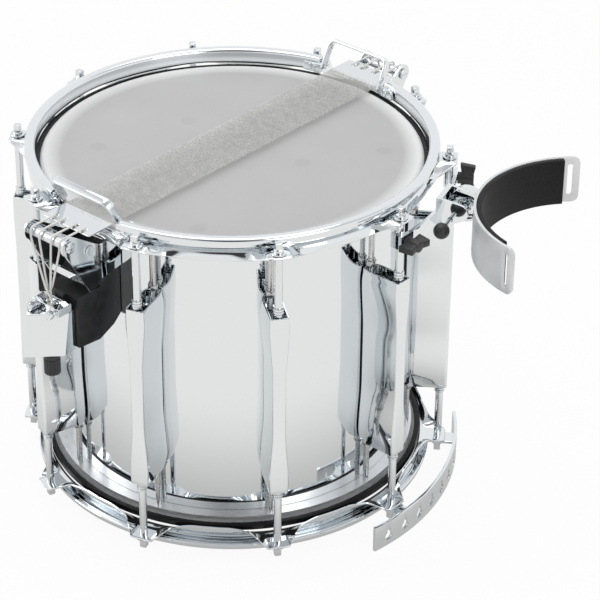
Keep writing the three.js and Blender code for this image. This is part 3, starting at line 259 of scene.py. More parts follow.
def makeCordNylon():
    # White braided nylon cord, drawn with a braid as coarse as the render can show
    material, tree, shader, coords = startMaterial("white_braided_nylon", Roughness=0.6, IOR=1.53)
    wave = addNode(tree, "ShaderNodeTexWave", {
        "bands_direction": "DIAGONAL", "Scale": perMetre(3.2), "Distortion": 0.5}, {"Vector": coords})
    ramp = addNode(tree, "ShaderNodeValToRGB", {}, {"Fac": wave.outputs["Fac"]})
    ramp.color_ramp.elements[0].color = linear("dcdcd8")
    ramp.color_ramp.elements[1].color = linear("f6f6f3")
    tree.links.new(ramp.outputs["Color"], shader.inputs["Base Color"])
    bump = addNode(tree, "ShaderNodeBump", {"Strength": 0.6, "Distance": 0.1 * mm},
                   {"Height": wave.outputs["Fac"]})
    tree.links.new(bump.outputs["Normal"], shader.inputs["Normal"])
    return material


def makeGreyPaint():
    # Silver grey powder coat on pressed steel: smooth satin with a slight peel
    material, tree, shader, coords = startMaterial("silver_grey_powder_coat", Metallic=0.55, IOR=1.5)
    addShades(tree, shader, coords, 30, "d2d3d5", "dcdddf")
    addRoughness(tree, shader, coords, 12, 0.3, 0.42)
    addGrain(tree, shader, coords, 1.6, 0.015)
    return material


def makeRubber():
    # Black moulded rubber gasket: dull, with a fine bloom on it
    material, tree, shader, coords = startMaterial("black_moulded_rubber", IOR=1.52)
    addShades(tree, shader, coords, 4, "0f0f10", "1b1b1c")
    addRoughness(tree, shader, coords, 3, 0.6, 0.8)
    return material


def makeFoam():
    # Black loop faced foam: matt, with a short nap that catches a grey rim
    material, tree, shader, coords = startMaterial("black_loop_foam", Roughness=0.95, Sheen_Weight=0.08,
                                                   Sheen_Roughness=0.5)
    addShades(tree, shader, coords, 1.4, "070707", "191919")
    addGrain(tree, shader, coords, 0.9, 0.35)
    return material


finish = dict(
    chrome=makeChrome(), cast=makeChrome("chromed_die_cast_aluminium", 0.03, 0.08, "e1e5e8", 0.0012),
    rod=makeChrome("chromed_machined_steel", 0.05, 0.12, "dfe2e5"), zinc=makeZincSteel(),
    satin=makeSatinAluminium(),
    spring=makeSpringSteel(), film=makeFilm(), ring=makeBlackAluminium(), plastic=makeBlackPlastic(),
    cord=makeCordNylon(), paint=makeGreyPaint(), foam=makeFoam(), rubber=makeRubber(),
)
print("materials made")


# Shaping

def station(angle, offset=0):
    # A frame with X outward at an angle round the drum, as the CAD's groups have
    turn = radians(angle)
    spot = (-sin(turn) * offset * mm, cos(turn) * offset * mm, middle)
    return Matrix.Translation(spot) @ Matrix.Rotation(turn, 4, "Z")


def localBox(node, place):
    # A node's lowest and highest corner in a station's frame, in millimetres
    back = place.inverted()
    points = [back @ vert.co / mm for vert in frame["nodes"][node].data.vertices]
    return [Vector([pick(p[axis] for p in points) for axis in range(3)]) for pick in (min, max)]


def softened(points, radius, steps=3, closed=True):
    # An outline with each corner taken in a curve
    count = len(points)
    result = []
    for i, point in enumerate(points):
        if not closed and i in (0, count - 1):
            result.append(tuple(point))
            continue
        here, before, after = (Vector(points[k % count]) for k in (i, i - 1, i + 1))
        reach = min(radius, (before - here).length / 2.05, (after - here).length / 2.05)
        start = here + (before - here).normalized() * reach
        end = here + (after - here).normalized() * reach
        for k in range(steps + 1):
            t = k / steps
            result.append(tuple(start * (1 - t) ** 2 + here * 2 * t * (1 - t) + end * t ** 2))
    return result


def arc(u, v, radius, start, end, steps):
    turns = [radians(start + (end - start) * i / steps) for i in range(steps + 1)]
    return [(u + radius * cos(turn), v + radius * sin(turn)) for turn in turns]


def turned(outline, steps, axis="Z"):
    # An outline of radius and height, closed or from axis to axis, spun full circle
    form = bmesh.new()
    verts = [form.verts.new((radius, 0, height)) for radius, height in outline]
    edges = [form.edges.new(pair) for pair in zip(verts, verts[1:])]
    if outline[0][0] > 0:
        edges.append(form.edges.new((verts[-1], verts[0])))
    bmesh.ops.spin(form, geom=verts + edges, cent=(0, 0, 0), axis=(0, 0, 1), angle=2 * pi, steps=steps,
                   use_merge=True)
    bmesh.ops.remove_doubles(form, verts=form.verts, dist=0.001)
    lay(form, axis)
    return form


def lay(form, axis):
    # Turns a form that was made along Z to lie along another axis
    if axis == "X":
        bmesh.ops.rotate(form, verts=form.verts, cent=(0, 0, 0), matrix=Matrix.Rotation(pi / 2, 3, "Y"))
    if axis == "Y":
        bmesh.ops.rotate(form, verts=form.verts, cent=(0, 0, 0), matrix=Matrix.Rotation(-pi / 2, 3, "X"))


def vertsOf(items):
    return [item for item in items if isinstance(item, bmesh.types.BMVert)]


def pushed(outline, start, end, along="Z"):
    # An outline extruded along an axis: Z takes x and y, Y takes x and z, X takes y and z
    spot = {"Z": lambda u, v: (u, v, start), "Y": lambda u, v: (u, start, v),
            "X": lambda u, v: (start, u, v)}[along]
    form = bmesh.new()
    face = form.faces.new([form.verts.new(spot(u, v)) for u, v in outline])
    grown = bmesh.ops.extrude_face_region(form, geom=[face])["geom"]
    shift = Vector((0, 0, 0))
    shift["XYZ".index(along)] = end - start
    bmesh.ops.translate(form, vec=shift, verts=vertsOf(grown))
    bmesh.ops.recalc_face_normals(form, faces=form.faces)
    return form


def block(low, high):
    form = bmesh.new()
    size, heart = Vector(high) - Vector(low), (Vector(high) + Vector(low)) / 2
    bmesh.ops.create_cube(form, size=1, matrix=Matrix.Translation(heart) @ Matrix.Diagonal(size).to_4x4())
    return form


def moved(form, x=0, y=0, z=0):
    bmesh.ops.translate(form, vec=(x, y, z), verts=form.verts)
    return form


def spun(form, angle, axis="Z", centre=(0, 0, 0)):
    bmesh.ops.rotate(form, verts=form.verts, cent=centre, matrix=Matrix.Rotation(radians(angle), 3, axis))
    return form


def bevelled(form, width, angle=30, segments=2):
    edges = [edge for edge in form.edges
             if len(edge.link_faces) == 2 and edge.calc_face_angle() > radians(angle)]
    bmesh.ops.bevel(form, geom=edges, offset=width, affect="EDGES", segments=segments, profile=0.5,
                    material=-1, clamp_overlap=True)
    return form


def closeEnds(form):
    bmesh.ops.holes_fill(form, edges=[edge for edge in form.edges if edge.is_boundary], sides=0)


def together(*forms):
    # Several forms in one mesh
    whole = forms[0]
    for form in forms[1:]:
        carry = bpy.data.meshes.new("carry")
        form.to_mesh(carry)
        form.free()
        whole.from_mesh(carry)
        bpy.data.meshes.remove(carry)
    return whole


def carved(form, cutter):
    # A form less a cutter
    parts = []
    for source in (form, cutter):
        mesh = bpy.data.meshes.new("carving")
        source.to_mesh(mesh)
        source.free()
        parts.append(bpy.data.objects.new("carving", mesh))
        scene.collection.objects.link(parts[-1])
    cut = parts[0].modifiers.new("cut", "BOOLEAN")
    cut.object = parts[1]
    cut.operation = "DIFFERENCE"
    cut.solver = "EXACT"
    result = bmesh.new()
    result.from_object(parts[0], bpy.context.evaluated_depsgraph_get())
    for part in parts:
        mesh = part.data
        bpy.data.objects.remove(part)
        bpy.data.meshes.remove(mesh)
    bmesh.ops.dissolve_limit(result, angle_limit=radians(0.2), verts=result.verts, edges=result.edges)
    return result


def copyOf(form, matrix):
    twin = form.copy()
    bmesh.ops.transform(twin, matrix=matrix, verts=twin.verts)
    if matrix.determinant() < 0:
        bmesh.ops.reverse_faces(twin, faces=twin.faces)
    return twin


def alongPath(points, radius):
    # A round tube of twelve sides on a chain of points in millimetres, with closed ends
    data = bpy.data.curves.new("path", "CURVE")
    data.dimensions = "3D"
    data.bevel_depth = radius
    data.bevel_resolution = 2
    data.use_fill_caps = True
    spline = data.splines.new("POLY")
    spline.points.add(len(points) - 1)
    for target, point in zip(spline.points, points):
        target.co = (*point, 1)
    holder = bpy.data.objects.new("path", data)
    scene.collection.objects.link(holder)
    mesh = bpy.data.meshes.new_from_object(holder.evaluated_get(bpy.context.evaluated_depsgraph_get()))
    form = bmesh.new()
    form.from_mesh(mesh)
    bpy.data.objects.remove(holder)
    bpy.data.curves.remove(data)
    bpy.data.meshes.remove(mesh)
    bmesh.ops.remove_doubles(form, verts=form.verts, dist=0.001)
    bmesh.ops.recalc_face_normals(form, faces=form.faces)
    return form


def show(name, form, place, look, rides, stands=(), sharp=32, flats=False):
    # A finished piece: settled in metres, smoothed but for its sharp edges, riding on a body
    bmesh.ops.transform(form, matrix=place @ Matrix.Scale(mm, 4), verts=form.verts)
    mesh = bpy.data.meshes.new(name)
    form.to_mesh(mesh)
    form.free()
    mesh.materials.append(finish[look])
    mesh.polygons.foreach_set("use_smooth", [True] * len(mesh.polygons))
    mesh.set_sharp_from_angle(angle=radians(sharp))
    piece = bpy.data.objects.new(name, mesh)
    scene.collection.objects.link(piece)
    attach(piece, rides)
    if stands:
        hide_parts(*stands)
    if flats:
        # Keeps wide faces flat beside their eased edges
        piece.modifiers.new("flats", "WEIGHTED_NORMAL").keep_sharp = True
    return piece


def fromNode(node, width, place):
    # The CAD solid's own shape, merged and with its edges eased by a width in millimetres
    form = bmesh.new()
    form.from_mesh(frame["nodes"][node].data)
    bmesh.ops.transform(form, matrix=Matrix.Scale(1 / mm, 4) @ place.inverted(), verts=form.verts)
    bmesh.ops.remove_doubles(form, verts=form.verts, dist=0.01)
    bmesh.ops.dissolve_limit(form, angle_limit=radians(0.5), verts=form.verts, edges=form.edges)
    return bevelled(form, width) if width else form


def rectangle(left, low, right, high):
    return [(left, low), (right, low), (right, high), (left, high)]


def barrel(radius, low, high, ease=0, steps=32, axis="Z"):
    # A round bar on an axis, its rims taken in a curve
    outline = rectangle(0, low, radius, high)
    return turned(softened(outline, ease, closed=False) if ease else outline, steps, axis)


def threaded(radius, low, high, pitch, depth, steps=20, axis="Z"):
    # A threaded rod, its thread drawn as rings
    turns = max(int((high - low) / pitch), 1)
    step = (high - low) / turns
    outline = [(0, low)]
    for i in range(turns):
        outline += [(radius - depth, low + i * step), (radius, low + (i + 0.5) * step)]
    return turned(outline + [(radius - depth, high), (0, high)], steps, axis)


def hexNut(radius, low, high, along="Z", rise=0):
    return bevelled(pushed(arc(0, rise, radius, 0, 300, 5), low, high, along), 0.4)


screwSizes = dict(ease=0.6, slotWidth=1.1, slotFloor=0.55, overrun=1)


def slottedScrew(radius, height):
    # A cheese head with a driver slot, its foot at 0
    s = screwSizes
    reach, half = radius + s["overrun"], s["slotWidth"] / 2
    slot = block((-reach, -half, height * s["slotFloor"]), (reach, half, height + s["overrun"]))
    return carved(barrel(radius, 0, height, s["ease"]), slot)


# The places round the drum that pieces are drawn at

lugCount = 10
lugStep = 360 / lugCount
snareOffset = -6
strainer = station(-90, snareOffset)
butt = station(90, -snareOffset)
legSide = station(lugStep / 2)
drumPlace = station(0)
flip = Matrix.Diagonal((1, 1, -1, 1))
endPlace = dict(snare=drumPlace, batter=drumPlace @ flip)


# Snare cords: the CAD's own route, its corners rounded

cordSizes = dict(radius=1.0, clearance=0.6, top=18, crossHeight=98, crossSide=-4, mouthReach=228.3, layer=2.9,
                 foot=87.8, slotReach=203.5, rollerReach=227.5, rollerRadius=4.8, rollerLead=3,
                 plateTop=157.8, plateThickness=1.2, keep=0.96)
cordWrap = cordSizes["rollerRadius"] + cordSizes["clearance"] + cordSizes["radius"]
# Each run's place at the top, at the crossing and in the clamp, and its layer there
cordShares = ((-1, 0, 0.5, 1), (-0.4, -0.085, -0.28, 0), (0.4, 0.085, 0.17, 0), (1, 0, -0.56, -1))


def cordRoute():
    s = cordSizes
    rollerHeight = s["plateTop"] - s["rollerRadius"]
    above = rollerHeight + cordWrap
    below = s["plateTop"] - s["plateThickness"] - s["clearance"] - s["radius"]
    runs = []
    for topShare, crossShare, footShare, layer in cordShares:
        reach, top = s["mouthReach"] + layer * s["layer"], topShare * s["top"]
        runs.append([
            (reach, s["crossSide"] + footShare * s["top"], s["foot"]),
            (reach, s["crossSide"] + crossShare * s["top"], s["crossHeight"]),
            (s["rollerReach"] + cordWrap, top, rollerHeight - s["radius"] * s["rollerLead"]),
            (s["rollerReach"] + cordWrap, top, above),
            (s["slotReach"], top, above),
            (s["slotReach"], top, below),
        ])
    return runs[0] + runs[1][::-1] + runs[2] + runs[3][::-1]


def roundedRoute(points, reach, steps=6):
    # A route with its sharp corners taken in bends
    points = [Vector(point) for point in points]
    chain = [points[0]]
    for before, here, after in zip(points, points[1:], points[2:]):
        room = min(reach, (here - before).length / 2, (after - here).length / 2)
        start = here + (before - here).normalized() * room
        end = here + (after - here).normalized() * room
        for k in range(steps + 1):
            t = k / steps
            chain.append(start * (1 - t) ** 2 + here * 2 * t * (1 - t) + end * t ** 2)
    chain.append(points[-1])
    return [point for i, point in enumerate(chain) if i == 0 or (point - chain[i - 1]).length > 0.05]


def makeCord(name, node, place):
    # Held at both ends, so not a free cord; the front one gets a mesh of its own
    s = cordSizes
    form = alongPath(roundedRoute(cordRoute(), cordWrap), s["radius"])
    cord = show(name, form, place, "cord", body[node], [node], sharp=60)
    if node == "front_cord":
        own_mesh(cord)


makeCord("lacedCordFront", "front_cord", strainer)
makeCord("lacedCordRear", "rear_cord", butt)
print("cords laced")


# Shell and the rings that carry its ends

shellSizes = dict(wall=1.8, steps=240)


def makeShell():
    low, high = localBox("shell", drumPlace)
    form = turned(rectangle(high.x - shellSizes["wall"], low.z, high.x, high.z), shellSizes["steps"])
    show("polishedShell", form, drumPlace, "chrome", body["shell"], ["shell"])


ringSizes = dict(bore=157, outer=175, foot=140.6, crest=151.6, crestRadius=172.5, roundDrop=2.4, roundFrom=20,
                 roundTo=160, roundSteps=6, spigot=6, spigotRadius=161.9, steps=180)


def makeEdgeRing(side):
    s = ringSizes
    shoulder = s["crest"] - s["roundDrop"]
    outline = [(s["bore"], s["foot"] - s["spigot"]), (s["spigotRadius"], s["foot"] - s["spigot"]),
               (s["spigotRadius"], s["foot"]), (s["outer"], s["foot"]), (s["outer"], shoulder)]
    outline += arc(s["crestRadius"], shoulder, s["roundDrop"], s["roundFrom"], s["roundTo"], s["roundSteps"])
    form = turned(outline + [(s["bore"], s["foot"])], s["steps"])
    node = side + "_edge_ring"
    show(side + "BearingRing", form, endPlace[side], "satin", body[node], [node])


studSizes = dict(circle=169.6, radius=2.2, tip=81, pitch=1.4, threadDepth=0.28, shank=2.8, foot=93.8,
                 nutRadius=4.6, nutHeight=5.7, washerGap=0.1, washerHeight=1.2, washerEase=0.3,
                 collarRadius=3.3, collarLow=7, collarHigh=9.5)


def makeStuds(side):
    s = studSizes
    foot = s["foot"]
    washerLow = foot + s["nutHeight"] + s["washerGap"]
    stack = together(
        barrel(s["shank"], foot, ringSizes["foot"], steps=20),
        threaded(s["radius"], s["tip"], foot + 0.1, s["pitch"], s["threadDepth"], 16),
        hexNut(s["nutRadius"], foot, foot + s["nutHeight"]),
        barrel(s["nutRadius"], washerLow, washerLow + s["washerHeight"], s["washerEase"], 24),
        barrel(s["collarRadius"], foot + s["collarLow"], foot + s["collarHigh"], steps=24),
    )
    reach = Matrix.Translation((s["circle"], 0, 0))
    copies = [copyOf(stack, Matrix.Rotation(radians(i * lugStep), 4, "Z") @ reach) for i in range(lugCount)]
    stack.free()
    show(side + "Studs", together(*copies), endPlace[side], "zinc", body[side + "_edge_ring"])


makeShell()
for side in ("snare", "batter"):
    makeEdgeRing(side)
    makeStuds(side)
print("shell and rings turned")


# Heads: the film stretched over the bearing edge into its flesh hoop

headSizes = dict(top=152.4, thickness=0.4, flatRadius=173, shoulderRun=2.6, shoulderDrop=0.25,
                 collarRadius=178.0, collarDrop=2.6, tuckRun=1.2, tuckRise=1.5, ease=1.2, hoopInner=178.2,
                 hoopOuter=183.4, hoopFoot=144.4, hoopTop=150.4, hoopEase=0.9, steps=180)


def makeHead(side):
    s = headSizes
    top, thin = s["top"], s["thickness"]
    edge = [(s["flatRadius"], top), (s["flatRadius"] + s["shoulderRun"], top - s["shoulderDrop"]),
            (s["collarRadius"], top - s["collarDrop"]),
            (s["collarRadius"] + s["tuckRun"], s["hoopFoot"] + s["tuckRise"])]
    under = [(radius - thin, height - thin) for radius, height in reversed(edge)]
    film = turned([(0, top)] + softened(edge, s["ease"], closed=False) + under + [(0, top - thin)],
                  s["steps"])
    node = side + "_head"
    show(side + "Film", film, endPlace[side], "film", body[node], [node])
    section = softened(rectangle(s["hoopInner"], s["hoopFoot"], s["hoopOuter"], s["hoopTop"]), s["hoopEase"])
    show(side + "FleshHoop", turned(section, s["steps"]), endPlace[side], "ring", body[node])


makeHead("snare")
makeHead("batter")
print("heads on")


# Counter hoops: a pressed section spun round the drum, drawn out into an ear at each rod

hoopSizes = dict(thickness=2.3, beadRadius=191.4, beadHeight=9.6, lipRadius=190.9, lipHeight=13.2,
                 lipBendRadius=183.5, wallRadius=182.8, wallFoot=0.6, skirtBendRadius=186.5,
                 skirtBendDrop=1.6, skirtEdgeRadius=188.3, skirtEdgeDrop=7.9, bend=2.4, bendSteps=4,
                 rollTurn=0.9, earRadius=208, earHeight=2.4, earBendRadius=188.6, earHalf=2.9, earKnee=7.2,
                 earBlend=13.5, earShare=0.2, earCurve=1.2, skirtCurve=1.6, steps=720, gateHalf=42,
                 gateFloor=0.8, gateTop=40, gateInner=171.5)


def hoopSection(ear):
    s = hoopSizes
    top = headSizes["top"]

    def mix(skirt, drawn):
        return skirt + (drawn - skirt) * ear
    line = softened([
        (s["beadRadius"], top + s["beadHeight"]), (s["lipRadius"], top + s["lipHeight"]),
        (s["lipBendRadius"], top + s["lipHeight"]),
        (s["wallRadius"], top + s["wallFoot"]),
        (mix(s["skirtBendRadius"], s["earBendRadius"]), top + mix(-s["skirtBendDrop"], s["earHeight"])),
        (mix(s["skirtEdgeRadius"], s["earRadius"]), top + mix(-s["skirtEdgeDrop"], s["earHeight"])),
    ], s["bend"], s["bendSteps"], closed=False)
    line = [Vector(point) for point in line]
    half = s["thickness"] / 2
    sides = [[], []]
    for i, point in enumerate(line):
        along = (line[min(i + 1, len(line) - 1)] - line[max(i - 1, 0)]).normalized()
        normal = Vector((-along.y, along.x))
        sides[0].append(point + normal * half)
        sides[1].append(point - normal * half)

    def cap(point, out):
        # The rolled edge of the sheet
        start = atan2(out.y, out.x)
        return [point + Vector((cos(start + turn), sin(start + turn))) * half
                for turn in (-s["rollTurn"], 0, s["rollTurn"])]
    first = cap(line[0], line[0] - line[1])
    last = cap(line[-1], line[-1] - line[-2])
    if (first[0] - sides[0][0]).length < (first[-1] - sides[0][0]).length:
        first, last = first[::-1], last[::-1]
    return first + sides[0] + last + sides[1][::-1]


def earness(angle):
    # How far the section is drawn into the ear, by its angle from the middle of one
    s = hoopSizes
    off = abs((angle + lugStep / 2) % lugStep - lugStep / 2)
    if off < s["earHalf"]:
        return 1
    if off < s["earKnee"]:
        share = (s["earKnee"] - off) / (s["earKnee"] - s["earHalf"])
        return s["earShare"] + (1 - s["earShare"]) * share ** s["earCurve"]
    share = max(s["earBlend"] - off, 0) / (s["earBlend"] - s["earKnee"])
    return s["earShare"] * share ** s["skirtCurve"]


def makeHoop(side, cutters):
    # Each point of the section keeps how far it moves when its place is drawn into an ear
    form = bmesh.new()
    outward = form.verts.layers.float.new("outward")
    upward = form.verts.layers.float.new("upward")
    verts = []
    for here, there in zip(hoopSection(0), hoopSection(1)):
        vert = form.verts.new((here.x, 0, here.y))
        vert[outward], vert[upward] = there.x - here.x, there.y - here.y
        verts.append(vert)
    edges = [form.edges.new(pair) for pair in zip(verts, verts[1:] + verts[:1])]
    bmesh.ops.spin(form, geom=verts + edges, cent=(0, 0, 0), axis=(0, 0, 1), angle=2 * pi,
                   steps=hoopSizes["steps"], use_merge=True)
    bmesh.ops.remove_doubles(form, verts=form.verts, dist=0.001)
    for vert in form.verts:
        reach = hypot(vert.co.x, vert.co.y)
        share = earness(degrees(atan2(vert.co.y, vert.co.x)))
        grown = (reach + vert[outward] * share) / reach
        vert.co = (vert.co.x * grown, vert.co.y * grown, vert.co.z + vert[upward] * share)
    bmesh.ops.recalc_face_normals(form, faces=form.faces)
    for cutter in cutters:
        form = carved(form, cutter)
    node = side + "_hoop"
    show(side + "CounterHoop", form, endPlace[side], "chrome", body[node], [node], sharp=40)


def gateCutter(angle, side):
    s = hoopSizes
    top = headSizes["top"]
    form = block((s["gateInner"], -s["gateHalf"], top + s["gateFloor"]),
                 (s["earRadius"], s["gateHalf"], top + s["gateTop"]))
    return spun(moved(form, y=side * snareOffset), angle)


makeHoop("snare", [gateCutter(-90, 1), gateCutter(90, -1)])
makeHoop("batter", [])
print("hoops pressed")


# Lugs: an hourglass casting, open in a tray at each end, on a rubber gasket
# Heel, beam and nose are half widths at the waist, at the flare and at the end

lugSizes = dict(top=93.5, inner=165, beamReach=174.5, outer=208.4, waistShare=0.3, flareShare=0.87,
                corner=2.6, cornerSteps=5, rings=44, heel=(5.4, 8.4, 6.6), beam=(6.9, 10.4, 9.0),
                nose=(6.2, 9.1, 8.7), rim=1.5, trayDepth=13, edge=0.35, gasketInner=164.15, gasketOuter=166.4,
                gasketHalf=4.4, gasketDrop=3, gasketEase=0.5)


def smoothShare(value, low, high):
    t = min(max((value - low) / (high - low), 0), 1)
    return t * t * (3 - 2 * t)


def lugRing(height):
    # The casting's section at a height: narrow at its heel, widest a little way out, drawn in at the waist
    s = lugSizes
    share = abs(height) / s["top"]
    swell = smoothShare(share, s["waistShare"], s["flareShare"])
    taper = smoothShare(share, s["flareShare"], 1)
    heel, beam, nose = (waist + (flare - waist) * swell + (end - flare) * taper
                        for waist, flare, end in (s["heel"], s["beam"], s["nose"]))
    half = [(s["inner"], heel), (s["beamReach"], beam), (s["outer"], nose)]
    return softened([(reach, -width) for reach, width in half] + half[::-1], s["corner"], s["cornerSteps"])


def makeLugForm():
    s = lugSizes
    form = bmesh.new()
    order = form.verts.layers.int.new("order")
    verts = [form.verts.new((reach, side, -s["top"])) for reach, side in lugRing(-s["top"])]
    for i, vert in enumerate(verts):
        vert[order] = i
    face = form.faces.new(verts)
    for i in range(s["rings"]):
        height = s["top"] * (2 * (i + 1) / s["rings"] - 1)
        section = lugRing(height)
        grown = bmesh.ops.extrude_face_region(form, geom=[face])["geom"]
        if i:
            # The extrusion leaves the old face inside; only the first one closes the form
            bmesh.ops.delete(form, geom=[face], context="FACES_ONLY")
        face = next(item for item in grown if isinstance(item, bmesh.types.BMFace))
        for vert in face.verts:
            vert.co = (*section[vert[order]], height)
    bmesh.ops.recalc_face_normals(form, faces=form.faces)
    for end in (-1, 1):
        tray = [item for item in form.faces if item.normal.z * end > 0.9]
        bmesh.ops.inset_region(form, faces=tray, thickness=s["rim"])
        grown = bmesh.ops.extrude_face_region(form, geom=tray)["geom"]
        bmesh.ops.delete(form, geom=tray, context="FACES")
        bmesh.ops.translate(form, vec=(0, 0, -end * s["trayDepth"]), verts=vertsOf(grown))
    bmesh.ops.recalc_face_normals(form, faces=form.faces)
    rims = [edge for edge in form.edges if min(abs(vert.co.z) for vert in edge.verts) > s["top"] - 0.1
            and edge.calc_face_angle() > radians(50)]
    bmesh.ops.bevel(form, geom=rims, offset=s["edge"], affect="EDGES", segments=2, profile=0.5, material=-1)
    return form


def makeGaskets():
    s = lugSizes
    high = s["top"] - s["gasketDrop"]
    strip = block((s["gasketInner"], -s["gasketHalf"], -high), (s["gasketOuter"], s["gasketHalf"], high))
    bevelled(strip, s["gasketEase"])
    strips = [copyOf(strip, Matrix.Rotation(radians(i * lugStep), 4, "Z")) for i in range(lugCount)]
    strip.free()
    show("lugGaskets", together(*strips), drumPlace, "rubber", body["lug_0"])


lugForm = makeLugForm()
for i in range(lugCount):
    node = f"lug_{i}"
    show(f"lugCasting{i}", lugForm.copy(), station(i * lugStep), "cast", body[node], [node], sharp=40)
lugForm.free()
makeGaskets()
print("lugs cast")


# Tension rods, drawn head up at the snare end; the batter end is the same turned over

rodSizes = dict(circle=201.6, radius=3.25, rootRadius=2.9, pitch=1.5, keyHalf=3.1, keyHeight=6.6,
                keyEase=0.55, collarRadius=4.5, collarHeight=2.9, collarEase=0.6, washerRadius=6.9,
                washerThickness=1.4, washerEase=0.4, sleeveRadius=3.7, sleeveEase=0.3, overlap=0.2,
                nutSink=4.7, nutLength=14, nutRadius=4.8, nutRings=5, nutFoot=0.5, ringPitch=2.6,
                grooveRadius=4.0, grooveLow=2.2, grooveWall=2.4, grooveHigh=2.9)


def makeRodForm(node, place):
    s = rodSizes
    low, high = localBox(node, place)
    upright = high.z > 0
    tip, top = (low.z, high.z) if upright else (-high.z, -low.z)
    seat = top - s["keyHeight"] - s["collarHeight"] - s["washerThickness"]
    washerTop = seat + s["washerThickness"]
    nutLow = lugSizes["top"] - s["nutSink"]
    shankLow = nutLow + s["nutLength"]
    key = block((-s["keyHalf"], -s["keyHalf"], top - s["keyHeight"] - s["overlap"]),
                (s["keyHalf"], s["keyHalf"], top))
    nut = [(0, nutLow + s["nutFoot"])]
    for k in range(s["nutRings"]):
        # The receiver nut in the tray, grooved in rings
        rise = nutLow + k * s["ringPitch"]
        nut += [(s["nutRadius"], rise + s["nutFoot"]), (s["nutRadius"], rise + s["grooveLow"]),
                (s["grooveRadius"], rise + s["grooveWall"]), (s["grooveRadius"], rise + s["grooveHigh"])]
    form = together(
        bevelled(key, s["keyEase"]),
        barrel(s["collarRadius"], washerTop, washerTop + s["collarHeight"], s["collarEase"]),
        barrel(s["washerRadius"], seat, washerTop, s["washerEase"], 36),
        barrel(s["sleeveRadius"], shankLow, seat + s["overlap"], s["sleeveEase"], 24),
        threaded(s["radius"], tip, shankLow + s["overlap"], s["pitch"], s["radius"] - s["rootRadius"]),
        turned(nut + [(0, nut[-1][1])], 28),
    )
    return form if upright else copyOf(form, flip)


for i in range(lugCount):
    place = station(i * lugStep) @ Matrix.Translation((rodSizes["circle"] * mm, 0, 0))
    for side in ("snare", "batter"):
        node = f"{side}_rod_{i}"
        show(f"{side}TensionRod{i}", makeRodForm(node, place), place, "rod", body[node], [node])
print("rods in")


# Snare wires: coiled strands soldered to a slotted plate at each end

strandSizes = dict(count=20, pitch=2.9, coilRadius=0.95, wireRadius=0.36, turnPitch=1.9, stepsPerTurn=6,
                   wireSides=4, turnShift=2.4, height=157.2, reach=184, plateInner=180, plateOuter=209,
                   plateHalf=29, plateThickness=1.2, plateCorner=2.5, plateEase=0.25, slotReach=203.5,
                   slotLength=7, slotWidth=3.8, slotCorner=1.6, slots=(-18, -7.2, 7.2, 18), overrun=2)


def makeStrands():
    # Each coil starts at another turn of its wire, so that their windings don't line up
    s = strandSizes
    turns = round(2 * s["reach"] / s["turnPitch"])
    steps = turns * s["stepsPerTurn"]
    coil = bmesh.new()
    bmesh.ops.create_circle(coil, segments=s["wireSides"], radius=s["wireRadius"])
    spun(coil, 90, "X")
    moved(coil, x=-s["reach"], z=s["coilRadius"] - s["wireRadius"] / 2)
    bmesh.ops.spin(coil, geom=coil.verts[:] + coil.edges[:], cent=(-s["reach"], 0, 0), axis=(1, 0, 0),
                   dvec=(2 * s["reach"] / steps, 0, 0), angle=2 * pi * turns, steps=steps)
    closeEnds(coil)
    strands = []
    for i in range(s["count"]):
        side = (i - (s["count"] - 1) / 2) * s["pitch"]
        turn = Matrix.Rotation(i * s["turnShift"], 4, "X")
        strands.append(copyOf(coil, Matrix.Translation((0, side, s["height"])) @ turn))
    coil.free()
    form = together(*strands)
    bmesh.ops.recalc_face_normals(form, faces=form.faces)
    show("snareStrands", form, strainer, "spring", body["snare_wires"], ["snare_wires"], sharp=60)


def makeStrandPlate(name, end):
    s = strandSizes
    low, high = sorted((end * s["plateInner"], end * s["plateOuter"]))
    bottom, half = s["height"] - s["plateThickness"] / 2, s["plateHalf"]
    outline = softened(rectangle(low, -half, high, half), s["plateCorner"])
    form = pushed(outline, bottom, bottom + s["plateThickness"])
    reach, long, wide = end * s["slotReach"], s["slotLength"] / 2, s["slotWidth"] / 2
    slots = []
    for side in s["slots"]:
        corners = softened(rectangle(reach - long, side - wide, reach + long, side + wide), s["slotCorner"])
        slots.append(pushed(corners, bottom - s["overrun"], bottom + s["overrun"] * 2))
    form = bevelled(carved(form, together(*slots)), s["plateEase"], 40, 1)
    show(name, form, strainer, "rod", body["snare_wires"], flats=True)


makeStrands()
makeStrandPlate("strandPlateFront", 1)
makeStrandPlate("strandPlateRear", -1)
print("snare wires strung")


# Snare guards: a bow of flat bar with a screwed tab at each foot

guardSizes = dict(halfSpan=37, footReach=175.5, footRise=5.2, topReach=190.5, topRise=33.5, thickness=3.2,
                  width=8, ease=1.2, cornerRadius=9, cornerSteps=10, footSide=46, wallRadius=182.8,
                  wallGap=1.75, tabLength=20, tabRise=1.5, tabHeight=9, tabThickness=2.6, tabCorner=2.2,
                  tabEase=0.5, screwRise=7.2, screwHead=4, screwHeadHeight=2.4, screwRadius=2.1,
                  screwLength=11.5, screwPitch=0.9, threadDepth=0.25, overlap=0.5, nutRadius=3.9,
                  nutHeight=3.0, nutGap=1.5)


def guardBow(half, height, radius):
    steps = guardSizes["cornerSteps"]
    return ([(half, 0)] + arc(half - radius, height - radius, radius, 0, 90, steps)
            + arc(radius - half, height - radius, radius, 90, 180, steps) + [(-half, 0)])


